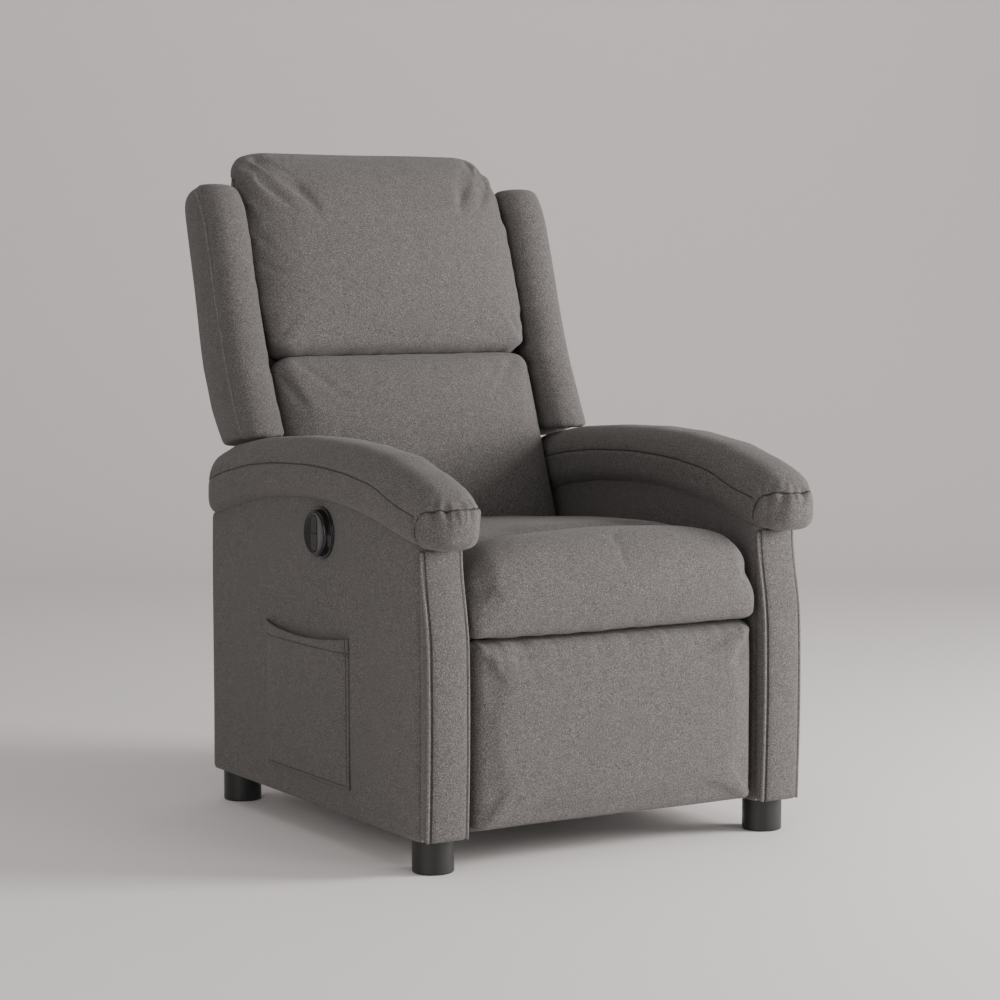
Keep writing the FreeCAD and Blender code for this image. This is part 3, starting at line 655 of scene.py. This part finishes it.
def make_seat_roll():
    """Front roll of the seat: full and round on top, tucked in along its lower edge."""
    low = 0.3345
    high = 0.4800
    half = (SEAT_HALF, (ROLL_REAR - SEAT_FRONT) / 2, (high - low) / 2)
    box, faces = box_surface(half, 0.0062)
    upper = smooth((box[:, 2] / half[2] + 0.55) / 0.9)[:, None]
    lower_radius = np.array([0.016, 0.016, 0.012])
    upper_radius = np.array([0.046, 0.056, 0.056])
    radius = lower_radius * (1 - upper) + upper_radius * upper
    shares = box / np.asarray(half)
    x, y, z = round_box(box, half, radius).T
    y = y + half[1] + SEAT_FRONT
    z = z + (low + high) / 2
    face = smooth(0.5 - shares[:, 1] * 0.5)
    rise = np.clip((z - low) / (high - low), 0, 1)
    z = z - seat_crown(x) * rise ** 2
    bulge = np.cos(np.pi * x / (2.06 * SEAT_HALF)) ** 0.6
    bulge = bulge * np.clip(np.sin(np.pi * rise ** 0.85), 0, 1) ** 0.8
    y = y + face * (0.005 - 0.009 * bulge)
    world = np.stack([x, FRONT + y, z], axis=-1)
    roll = make_piece("seat_front_roll", world, faces, FABRIC, "base")
    hidden = np.clip(smooth((y - 0.105) / 0.02) + smooth((0.345 - z) / 0.006), 0, 1)
    swell(roll, hidden, cap=0.006)
    refine(roll)
    points = coords(roll)
    up = points[:, 2] - low
    front_side = smooth((0.06 - points[:, 1] + FRONT) / 0.03)
    seam = np.exp(-np.clip(up, 0, 1) / 0.022) * front_side
    corner = np.exp(-np.abs(SEAT_HALF - np.abs(points[:, 0])) / 0.03) * seam
    amount = 0.0018 * seam * field(points, (44, 10, 14), 21) - 0.003 * corner
    amount += 0.0012 * field(points, (9, 12, 14), 22)
    push(roll, amount)
    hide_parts("seat_cushion")


def make_seat_deck():
    """Rear part of the seat, flatter than the roll and sewn to it."""
    front = ROLL_REAR - 0.008
    rear = 0.5485
    bottom = 0.376
    half = (SEAT_HALF, (rear - front) / 2, 0.048)
    points, _, faces = soft_block(half, (0.028, 0.020, 0.024), 0.0075)
    x, y, z = points.T
    y = y + (front + rear) / 2
    height = 0.4745 - 0.020 * smooth((y - front) / (rear - front))
    thick = (z / half[2] + 1) / 2
    z = bottom + thick * (height - bottom)
    z = z + 0.004 * thick * np.sin(np.pi * (y - front) / (rear - front))
    z = z - seat_crown(x) * 0.85 * thick
    y = y - (0.453 - z) * math.tan(TILT) * smooth((y - 0.42) / 0.13)
    world = np.stack([x, FRONT + y, z], axis=-1)
    deck = make_piece("seat_rear_panel", world, faces, FABRIC, "base")
    hidden = smooth((0.40 - z) / 0.02)
    swell(deck, hidden, cap=0.005)
    refine(deck)
    points = coords(deck)
    push(deck, 0.0012 * field(points, (8, 8, 12), 25))
    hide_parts("seat_cushion")


def make_footrest():
    """Footrest pad with gathers under its top seam."""
    low = 0.0525
    high = 0.3325
    half_width = 0.2505
    half = (half_width, 0.0225, (high - low) / 2)
    points, shares, faces = soft_block(half, (0.022, 0.018, 0.011), 0.0062)
    x, y, z = points.T
    y = y + half[1] + 0.004
    z = z + (low + high) / 2
    face = (1 - shares[:, 1]) / 2
    across = np.clip(np.cos(np.pi * x / (2 * half_width)), 0, 1) ** 0.6
    upward = np.clip(np.sin(np.pi * (z - low) / (high - low)), 0, 1) ** 0.7
    y = y - 0.007 * face * (across * upward)
    world = np.stack([x, FRONT + y, z], axis=-1)
    pad = make_piece("footrest_cover", world, faces, FABRIC, "footrest")
    swell(pad, smooth((y - 0.030) / 0.010), cap=0.005)
    refine(pad)
    points = coords(pad)
    drop = high - points[:, 2]
    front_side = smooth((FRONT + 0.03 - points[:, 1]) / 0.015)
    gather = np.exp(-drop / 0.040) * front_side
    folds = field(points, (52, 5, 10), 31) + 0.6 * field(points, (100, 5, 16), 32)
    corner = np.exp(-np.abs(half_width - np.abs(points[:, 0])) / 0.02)
    corner = corner * np.exp(-drop / 0.03) * front_side
    amount = 0.0026 * gather * folds - 0.003 * corner + 0.0013 * field(points, (8, 8, 8), 33)
    push(pad, amount)
    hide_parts("footrest_pad")


# ---------------------------------------------------------------- back

HEAD_WIDTH = ((0.003, 0.234), (0.012, 0.240), (0.040, 0.2445), (0.090, 0.2490), (0.150, 0.2515),
              (0.220, 0.2530), (0.280, 0.2480), (0.330, 0.2370), (0.364, 0.2280))


def make_headrest():
    """Upper back cushion: crowned, tucked in at the seam, rolled over the board at its top."""
    low = 0.0006
    high = 0.3575
    half_width = 0.25
    half = (half_width, 0.036, (high - low) / 2)
    box, faces = box_surface(half, 0.0062)
    upper = smooth((box[:, 2] / half[2] - 0.1) / 0.7)[:, None]
    lower_radius = np.array([0.030, 0.032, 0.018])
    upper_radius = np.array([0.060, 0.0355, 0.056])
    rear_radius = np.array([0.014, 0.012, 0.016])
    radius = lower_radius * (1 - upper) + upper_radius * upper
    behind = smooth((box[:, 1] / half[1] + 0.3) / 0.8)[:, None]
    radius = radius * (1 - behind) + rear_radius * behind
    shares = box / np.asarray(half)
    x, v, u = round_box(box, half, radius).T
    u = u + (low + high) / 2
    x = x * along_curve(HEAD_WIDTH, u) / half_width
    go = (v / half[1] + 1) / 2
    across = np.clip(1 - (x / half_width) ** 2, 0, 1)
    rise = np.sin(np.pi * np.clip((u - low) / (high - low), 0, 1)) ** 0.7
    front = -0.0130 - 0.026 * across * rise + 0.010 * smooth((u - 0.290) / 0.07)
    rear = 0.0440 + 0.0225 * smooth((u - 0.3215) / 0.006)
    v = front + go * (rear - front)
    u = u + 0.006 * smooth((shares[:, 2] - 0.6) / 0.4) * np.sin(np.pi * np.clip(go, 0, 1)) ** 2
    world = tilted(x, v, u)
    cushion = make_piece("headrest_cover", world, faces, FABRIC, "back")
    held = np.maximum(smooth((v - 0.022) / 0.012), smooth((0.016 - u) / 0.008))
    swell(cushion, held, cap=0.010)
    refine(cushion)
    points = coords(cushion)
    height = (points[:, 2] - SEAM_HEIGHT) / math.cos(TILT)
    seam = np.exp(-np.clip(height, 0, 1) / 0.020)
    edge = along_curve(HEAD_WIDTH, height)
    side_near = np.exp(-np.abs(edge - np.abs(points[:, 0])) / 0.013)
    puckers = field(points, (8, 20, 52), 41)
    amount = 0.0016 * seam * field(points, (44, 8, 10), 42) + 0.0034 * side_near * puckers
    corner = np.exp(-np.abs(0.24 - np.abs(points[:, 0])) / 0.022) * seam
    amount += -0.004 * corner + 0.0013 * field(points, 8, 43)
    push(cushion, amount)
    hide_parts("headrest_cushion")


def make_lower_back():
    """Lower back cushion, from the seam down behind the seat."""
    low = -0.374
    high = -0.0006
    half_width = 0.2425
    half = (half_width, 0.030, (high - low) / 2)
    points, shares, faces = soft_block(half, (0.028, 0.028, 0.018), 0.0065)
    x, v, u = points.T
    u = u + (low + high) / 2
    face = (1 - shares[:, 1]) / 2
    across = np.clip(1 - (x / half_width) ** 2, 0, 1) ** 0.8
    rise = smooth(-u / 0.05) * smooth((u + 0.345) / 0.12)
    v = v + 0.0150 + 0.006 * face - 0.026 * face * across * rise
    x = x * (1 - 0.022 * smooth((u + 0.028) / 0.026))
    world = tilted(x, v, u)
    cushion = make_piece("lower_back_cover", world, faces, FABRIC, "back")
    held = np.maximum(smooth((v - 0.020) / 0.012), smooth((-0.30 - u) / 0.03))
    held = np.maximum(held, smooth((u + 0.016) / 0.008))
    swell(cushion, held, cap=0.007)
    refine(cushion)
    points = coords(cushion)
    height = (SEAM_HEIGHT - points[:, 2]) / math.cos(TILT)
    seam = np.exp(-np.clip(height, 0, 1) / 0.022)
    corner = np.exp(-np.abs(0.236 - np.abs(points[:, 0])) / 0.022) * seam
    amount = 0.0011 * seam * field(points, (44, 8, 9), 51) - 0.004 * corner
    amount += 0.0012 * field(points, 8, 53)
    push(cushion, amount)
    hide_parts("lower_back_cushion")


WING_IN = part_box("left_wing")[0].x
WING_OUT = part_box("left_wing")[1].x
WING_LOW = -0.1375
WING_TOP = 0.300
WING_PIPING = ((-0.137, -0.006), (-0.100, 0.003), (-0.030, 0.011), (0.090, 0.011), (0.225, 0.004),
               (0.255, 0.008), (0.278, 0.015), (0.300, 0.022))
WING_REAR = ((-0.137, 0.084), (-0.060, 0.107), (0.010, 0.112), (0.137, 0.100), (0.268, 0.088),
             (0.300, 0.080))
HINGE_BEHIND = 0.0687
HINGE_UP = -0.3964
WING_SWEEP = 0.2655


def wing_drop(behind, up):
    """Shift that gives the wing's lower end the arc it sweeps over the arm pad about the hinge."""
    arc = HINGE_UP + np.sqrt(WING_SWEEP ** 2 - (behind - HINGE_BEHIND) ** 2)
    return (arc - WING_LOW) * smooth((WING_LOW + 0.0525 - up) / 0.0525)


def wing_section(up):
    """One level loop of a wing and its middle: crowned outer face, piped edge, full round front."""
    front = along_curve(WING_PIPING, up)
    rear = along_curve(WING_REAR, up)
    top = math.sqrt(1 - min(1.0, max(0.0, (up - WING_TOP + 0.026) / 0.026)) ** 2)
    low = math.sqrt(1 - min(1.0, max(0.0, (WING_LOW + 0.009 - up) / 0.009)) ** 2)
    bulge = 0.037 * (0.35 + 0.65 * top) * (0.72 + 0.28 * low)
    inset = 0.013 * (1 - top) + 0.007 * (1 - low)
    width = WING_OUT - WING_IN
    outline = []
    for t in np.linspace(0, 1, 26, endpoint=False):
        x = WING_OUT - 0.0045 + 0.0035 * math.sin(math.pi * t)
        outline.append((x, rear - 0.012 + (front + 0.016 - rear) * t))
    for t in np.linspace(0, 1, 48, endpoint=False):
        angle = math.pi * t
        x = WING_OUT - 0.0045 - (width - 0.0025) * (0.5 - 0.5 * math.cos(angle))
        outline.append((x, front - bulge * math.sin(angle) ** 0.72 + 0.010 * t))
    for t in np.linspace(0, 1, 22, endpoint=False):
        tuck = 0.0055 * float(smooth(t * 3) * smooth((-0.005 - up) / 0.02))
        outline.append((WING_IN - 0.002 - tuck, front + 0.010 + (rear - 0.024 - front) * t))
    for t in np.linspace(0, 1, 22, endpoint=False):
        x = WING_IN + (width - 0.0045) * t
        outline.append((x, rear - 0.012 + 0.012 * math.sin(math.pi * t) ** 0.5))
    loop = np.array(outline)
    centre = np.array([(WING_IN + WING_OUT) / 2, (front - bulge + rear) / 2])
    away = loop - centre
    reach = np.linalg.norm(away, axis=1, keepdims=True)
    loop = centre + away * (1 - inset / reach)
    return loop, centre


def make_wing(name, side):
    """Side wing of the back."""
    levels = np.concatenate([
        WING_LOW + 0.009 * (1 - np.cos(np.linspace(0, math.pi / 2, 6))),
        np.linspace(WING_LOW + 0.014, WING_TOP - 0.031, 76),
        WING_TOP - 0.026 + 0.026 * np.sin(np.linspace(0, math.pi / 2, 12))])
    rings = [(wing_section(up)[0], up) for up in levels]
    for share in (0.75, 0.45, 0.15):
        loop, centre = wing_section(WING_LOW)
        rings.insert(0, (centre + (loop - centre) * share, WING_LOW - 0.001 * (1 - share)))
        loop, centre = wing_section(WING_TOP)
        rings.append((centre + (loop - centre) * share, WING_TOP + 0.003 * (1 - share)))
    sections = []
    for loop, up in rings:
        x, behind = loop.T
        sections.append(tilted(side * x, behind, up + wing_drop(behind, up)))
    points, faces = loft(sections)
    wing = make_piece(name + "_wing_cover", points, faces, FABRIC, "back")
    soften(wing, 4)
    points = coords(wing)
    depth = points[:, 1] - FRONT - SEAM_DEPTH
    height = points[:, 2] - SEAM_HEIGHT
    u = depth * math.sin(TILT) + height * math.cos(TILT)
    v = depth * math.cos(TILT) - height * math.sin(TILT)
    inner = np.exp(-np.abs(np.abs(points[:, 0]) - WING_IN) / 0.014)
    amount = 0.0020 * inner * field(points, (20, 10, 46), 61 + side)
    bottom = np.exp(-np.clip(u - WING_LOW - wing_drop(v, u), 0, 1) / 0.02) * smooth((0.01 - v) / 0.02)
    amount += 0.0026 * bottom * field(points, (70, 30, 10), 63) + 0.0011 * field(points, 12, 64 + side)
    push(wing, amount)
    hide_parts(name + "_wing")
    count = 80
    ups = np.linspace(WING_LOW + 0.006, WING_TOP - 0.012, count)
    front = along_curve(WING_PIPING, ups) + 0.0022
    line = tilted(np.full(count, side * (WING_OUT - 0.0042)), front, ups + wing_drop(front, ups))
    piping = tube(name + "_wing_piping", line, 0.0022, PIPING, "back")


REAR_ARC = ((-0.376, 0.080), (-0.190, 0.086), (-0.110, 0.106), (-0.012, 0.113), (0.137, 0.099),
            (0.268, 0.082), (0.345, 0.074))


def make_rear_cover():
    """Cover on the rear of the back, narrower where it passes between the arm pads."""
    low = -0.374
    high = 0.344
    inside = 0.0675
    half_width = 0.2495
    half = (half_width, 0.015, (high - low) / 2)
    points, _, faces = soft_block(half, (0.014, 0.010, 0.016), 0.009)
    x, _, u = points.T
    u = u + (low + high) / 2
    rear = along_curve(REAR_ARC, u)
    go = (points[:, 1] / half[1] + 1) / 2
    v = inside + go * (rear - inside)
    width = 0.2425 + 0.0075 * smooth((u + 0.145) / 0.03) - 0.022 * smooth((u - 0.27) / 0.06)
    x = x * width / half_width
    world = tilted(x, v, u)
    cover = make_piece("back_rear_cover_fabric", world, faces, FABRIC, "back")
    push(cover, 0.0012 * field(world, 7, 71))
    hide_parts("back_rear_cover")


def make_lining():
    """Cover drawn over the front and edges of the back's board, under the cushions."""
    half = (0.2350, 0.0120, 0.2395)
    behind = 0.0560
    up = 0.0840
    points, _, faces = soft_block(half, (0.006, 0.006, 0.010), 0.010)
    x, v, u = points.T
    world = tilted(x, v + behind, u + up)
    lining = make_piece("back_board_lining", world, faces, FABRIC, "back")
    push(lining, 0.0004 * field(world, 30, 77))


def make_rear_valance():
    """Fabric panel that closes the rear between the arms."""
    low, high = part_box("rear_valance")
    middle = (low + high) / 2
    half = (high - low) / 2
    points, shares, faces = soft_block((half.x - 0.0004, half.y, half.z), (0.003, 0.0028, 0.004), 0.008)
    world = points + np.array(middle)
    world[:, 1] += 0.0014 * shares[:, 1] * (1 - shares[:, 0] ** 2) * field(points, (5, 1, 5), 74)
    panel = make_piece("rear_valance_fabric", world, faces, FABRIC, "base")
    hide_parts("rear_valance")


# ---------------------------------------------------------------- pocket and control

def make_pocket():
    """Flat pocket: one layer of cloth sewn down on three sides, its top edge sagging open."""
    low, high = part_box("side_pocket")
    across = 72
    upward = 60
    thick = 0.0022
    stitch_inset = 0.005
    hem_depth = 0.022
    width = high.y - low.y
    tall = high.z - low.z
    layers = []
    for layer in range(2):
        grid = []
        for j in range(upward + 1):
            for i in range(across + 1):
                a = i / across
                b = j / upward
                sag = 0.011 * math.sin(math.pi * a) ** 0.9
                z = low.z + b * (tall - sag * b ** 3)
                sewn = min(a, 1 - a) * width
                lift = 0.0085 * (1 - math.exp(-sewn / 0.020)) * (1 - math.exp(-b * tall / 0.03))
                lift *= 0.55 + 0.45 * b ** 2
                hem = 0.0014 * float(smooth((b * tall - tall + 0.020) / 0.003))
                out = 0.0012 + lift + (thick + hem if layer == 0 else 0)
                grid.append((high.x - out, low.y + a * width, z))
        layers.append(grid)
    count = (across + 1) * (upward + 1)
    points = np.array(layers[0] + layers[1])
    faces = []
    for j in range(upward):
        for i in range(across):
            a = j * (across + 1) + i
            quad = [a, a + 1, a + across + 2, a + across + 1]
            faces.append(quad)
            faces.append([count + n for n in quad[::-1]])
    rim = [(j * (across + 1), (j + 1) * (across + 1)) for j in range(upward)]
    rim += [(j * (across + 1) + across, (j + 1) * (across + 1) + across) for j in range(upward)]
    rim += [(i, i + 1) for i in range(across)]
    rim += [(upward * (across + 1) + i, upward * (across + 1) + i + 1) for i in range(across)]
    for a, b in rim:
        faces.append([a, b, b + count, a + count])
    pocket = make_piece("side_pocket_cloth", points, faces, FABRIC, "base")
    points = coords(pocket)
    a = (points[:, 1] - low.y) / width
    b = (points[:, 2] - low.z) / tall
    inset = np.minimum(np.minimum(a, 1 - a) * width, b * tall)
    outer = np.arange(len(points)) < count
    edge_line = inset - stitch_inset
    hem_line = (1 - b) * tall - hem_depth
    ripple = 0.0009 * field(points, (1, 16, 12), 81)
    points[:, 0] += -ripple * smooth(inset / 0.02)
    points[:, 0] += 0.0007 * near(edge_line, 0.002) * outer
    set_coords(pocket, points)
    # The stitch and hem lines get a bumped groove and painted shade on the outer layer.
    closer = np.where(np.abs(edge_line) < np.abs(hem_line), edge_line, hem_line)
    mark_seam(pocket, closer, 0.7 * outer)
    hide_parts("side_pocket")


def control_loops():
    """Loops of the control's housing, from the arm outwards and down into the recess."""
    low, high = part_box("control_ring")
    centre_y = (low.y + high.y) / 2
    centre_z = (low.z + high.z) / 2
    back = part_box("control_base_plate")[1].x
    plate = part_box("control_base_plate")[0].x
    top = low.x
    segments = 96
    turns = [2 * math.pi * n / segments for n in range(segments)]
    slot_half = 0.0100
    run = 0.0175
    rounds = [(back, 0.0398), (plate + 0.0012, 0.0400), (plate + 0.0004, 0.0397), (plate, 0.0388),
              (plate, 0.0362), (plate - 0.0008, 0.0356), (top + 0.0040, 0.0352), (top + 0.0018, 0.0345),
              (top + 0.0006, 0.0332), (top + 0.0001, 0.0315), (top + 0.0003, 0.0290),
              (top + 0.0009, 0.0282), (top + 0.0010, 0.0278)]
    loops = [[(x, centre_y + radius * math.cos(t), centre_z + radius * math.sin(t)) for t in turns]
             for x, radius in rounds]
    for x, grow in ((top + 0.0010, 0.0012), (top + 0.0014, 0.0004), (top + 0.0022, 0.0),
                    (top + 0.0084, 0.0)):
        reach = slot_half + grow
        loops.append([(x, centre_y + reach * math.cos(t),
                       centre_z + math.copysign(run, math.sin(t)) + reach * math.sin(t))
                      for t in turns])
    return loops


def make_control(material):
    """Round control with its recess; the two buttons stay as modelled."""
    points, faces = loft(control_loops())
    del faces[-2]  # the end that lies against the arm stays open
    housing = make_piece("control_housing", points, faces, material, "base")
    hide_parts("control_base_plate", "control_ring")
    for polygon in housing.data.polygons:
        polygon.use_smooth = len(polygon.vertices) == 4


# ---------------------------------------------------------------- stage and light

PAPER_FRONT = -7.0
PAPER_HALF_WIDTH = 9.0
PAPER_TOP = 7.0
PAPER_TURN = -0.54
BEND_START = 3.2
BEND_RADIUS = 2.0
BEND_STEPS = 24


def make_stage():
    """Pale floor that sweeps up into a backdrop."""
    material, tree, shader = new_material("studio_paper")
    shader.inputs["Base Color"].default_value = (0.93, 0.895, 0.885, 1)
    shader.inputs["Roughness"].default_value = 0.75
    shader.inputs["Specular IOR Level"].default_value = 0.2
    profile = [(PAPER_FRONT, 0.0), (BEND_START, 0.0)]
    for n in range(1, BEND_STEPS + 1):
        angle = math.pi / 2 * n / BEND_STEPS
        profile.append((BEND_START + BEND_RADIUS * math.sin(angle),
                        BEND_RADIUS - BEND_RADIUS * math.cos(angle)))
    profile.append((BEND_START + BEND_RADIUS, PAPER_TOP))
    points = []
    faces = []
    for row, (y, z) in enumerate(profile):
        points += [(-PAPER_HALF_WIDTH, y, z), (PAPER_HALF_WIDTH, y, z)]
        if row:
            a = 2 * (row - 1)
            faces.append([a, a + 1, a + 3, a + 2])
    mesh = bpy.data.meshes.new("studio_floor")
    mesh.from_pydata(points, [], faces)
    mesh.polygons.foreach_set("use_smooth", [True] * len(mesh.polygons))
    mesh.materials.append(material)
    floor = bpy.data.objects.new("studio_floor", mesh)
    bpy.context.collection.objects.link(floor)
    floor.rotation_euler.z = PAPER_TURN


def add_area(name, place, target, size, power, colour):
    """A square area light aimed at a point."""
    data = bpy.data.lights.new(name, "AREA")
    data.shape = "SQUARE"
    data.size = size
    data.energy = power
    data.color = colour
    light = bpy.data.objects.new(name, data)
    light.location = place
    light.rotation_euler = (Vector(target) - Vector(place)).to_track_quat("-Z", "Y").to_euler()
    bpy.context.collection.objects.link(light)


def make_light():
    """Two low soft keys and a front light from the picture's right, a fill from its left, a top."""
    warm = (1.0, 0.975, 0.955)
    add_area("key", (2.9, -2.2, 1.5), (0.25, -0.45, 0.3), 1.2, 144, warm)
    add_area("low_key", (3.0, -1.6, 0.75), (0.1, -0.2, 0.4), 1.2, 47, warm)
    add_area("front", (1.2, -3.6, 0.9), (0.0, -0.2, 0.3), 1.4, 36, warm)
    add_area("top", (0.0, 0.2, 3.2), (0.0, 0.0, 0.0), 2.4, 14, warm)
    add_area("fill", (-3.4, -2.2, 1.2), (0.0, 0.0, 0.5), 2.2, 41, warm)
    world = bpy.data.worlds.new("studio_air")
    world.use_nodes = True
    background = world.node_tree.nodes["Background"]
    background.inputs["Color"].default_value = (1.0, 0.98, 0.97, 1)
    background.inputs["Strength"].default_value = 0.32
    bpy.context.scene.world = world


# ---------------------------------------------------------------- carried-over parts

def dress(node, material):
    """Give a node of the model a finished material."""
    mesh = frame["nodes"][node].data
    mesh.materials.clear()
    mesh.materials.append(material)


def dress_nodes(gloss):
    """Materials for every rigid part that keeps its own shape."""
    black_foot = make_plastic("black_foot_plastic_moulded", (0.012, 0.012, 0.012), 0.42, 900, 0.0002)
    matte = make_plastic("matte_black_plastic_moulded", (0.03, 0.03, 0.03), 0.55, 700, 0.0003)
    casing = make_plastic("motor_casing_moulded", (0.045, 0.045, 0.05), 0.5, 600, 0.0003)
    nylon = make_plastic("drive_block_nylon", (0.70, 0.69, 0.65), 0.45, 500, 0.0002)
    paint = make_metal("black_steel_coated", (0.035, 0.035, 0.036), 0.0, 0.45)
    bright = make_metal("bright_steel_drawn", (0.60, 0.60, 0.60), 1.0, 0.32)
    zinc = make_metal("zinc_steel_plated", (0.66, 0.66, 0.64), 1.0, 0.35)
    wire = make_metal("spring_steel_oiled", (0.36, 0.36, 0.37), 1.0, 0.38)
    timber = make_wood("timber_planed", (0.66, 0.50, 0.32), (0.50, 0.36, 0.21))
    ply = make_wood("plywood_birch", (0.72, 0.58, 0.40), (0.60, 0.46, 0.30))
    by_slot = {
        "black_foot_plastic": black_foot, "matte_black_plastic": matte, "motor_casing": casing,
        "drive_block_plastic": nylon, "black_steel": paint, "bright_steel": bright,
        "zinc_steel": zinc, "spring_steel": wire, "timber": timber, "plywood": ply,
        "gloss_black_plastic": gloss}
    for entry in frame["record"]["subparts"]:
        if entry["material_slot"] in by_slot:
            dress(entry["node"], by_slot[entry["material_slot"]])
    dress("footrest_board", FABRIC)


# ---------------------------------------------------------------- the scene

make_camera()
make_stage()
make_light()
GLOSS = make_plastic("gloss_black_plastic_polished", (0.008, 0.008, 0.009), 0.16, 260, 0.00004)
dress_nodes(GLOSS)
for arm_name, arm_side in SIDES:
    make_arm_cover(arm_name, arm_side)
    make_front_strip(arm_name, arm_side)
    make_arm_pad(arm_name, arm_side)
    make_wing(arm_name, arm_side)
make_seat_roll()
make_seat_deck()
make_footrest()
make_headrest()
make_lower_back()
make_rear_cover()
make_lining()
make_rear_valance()
make_pocket()
make_control(GLOSS)
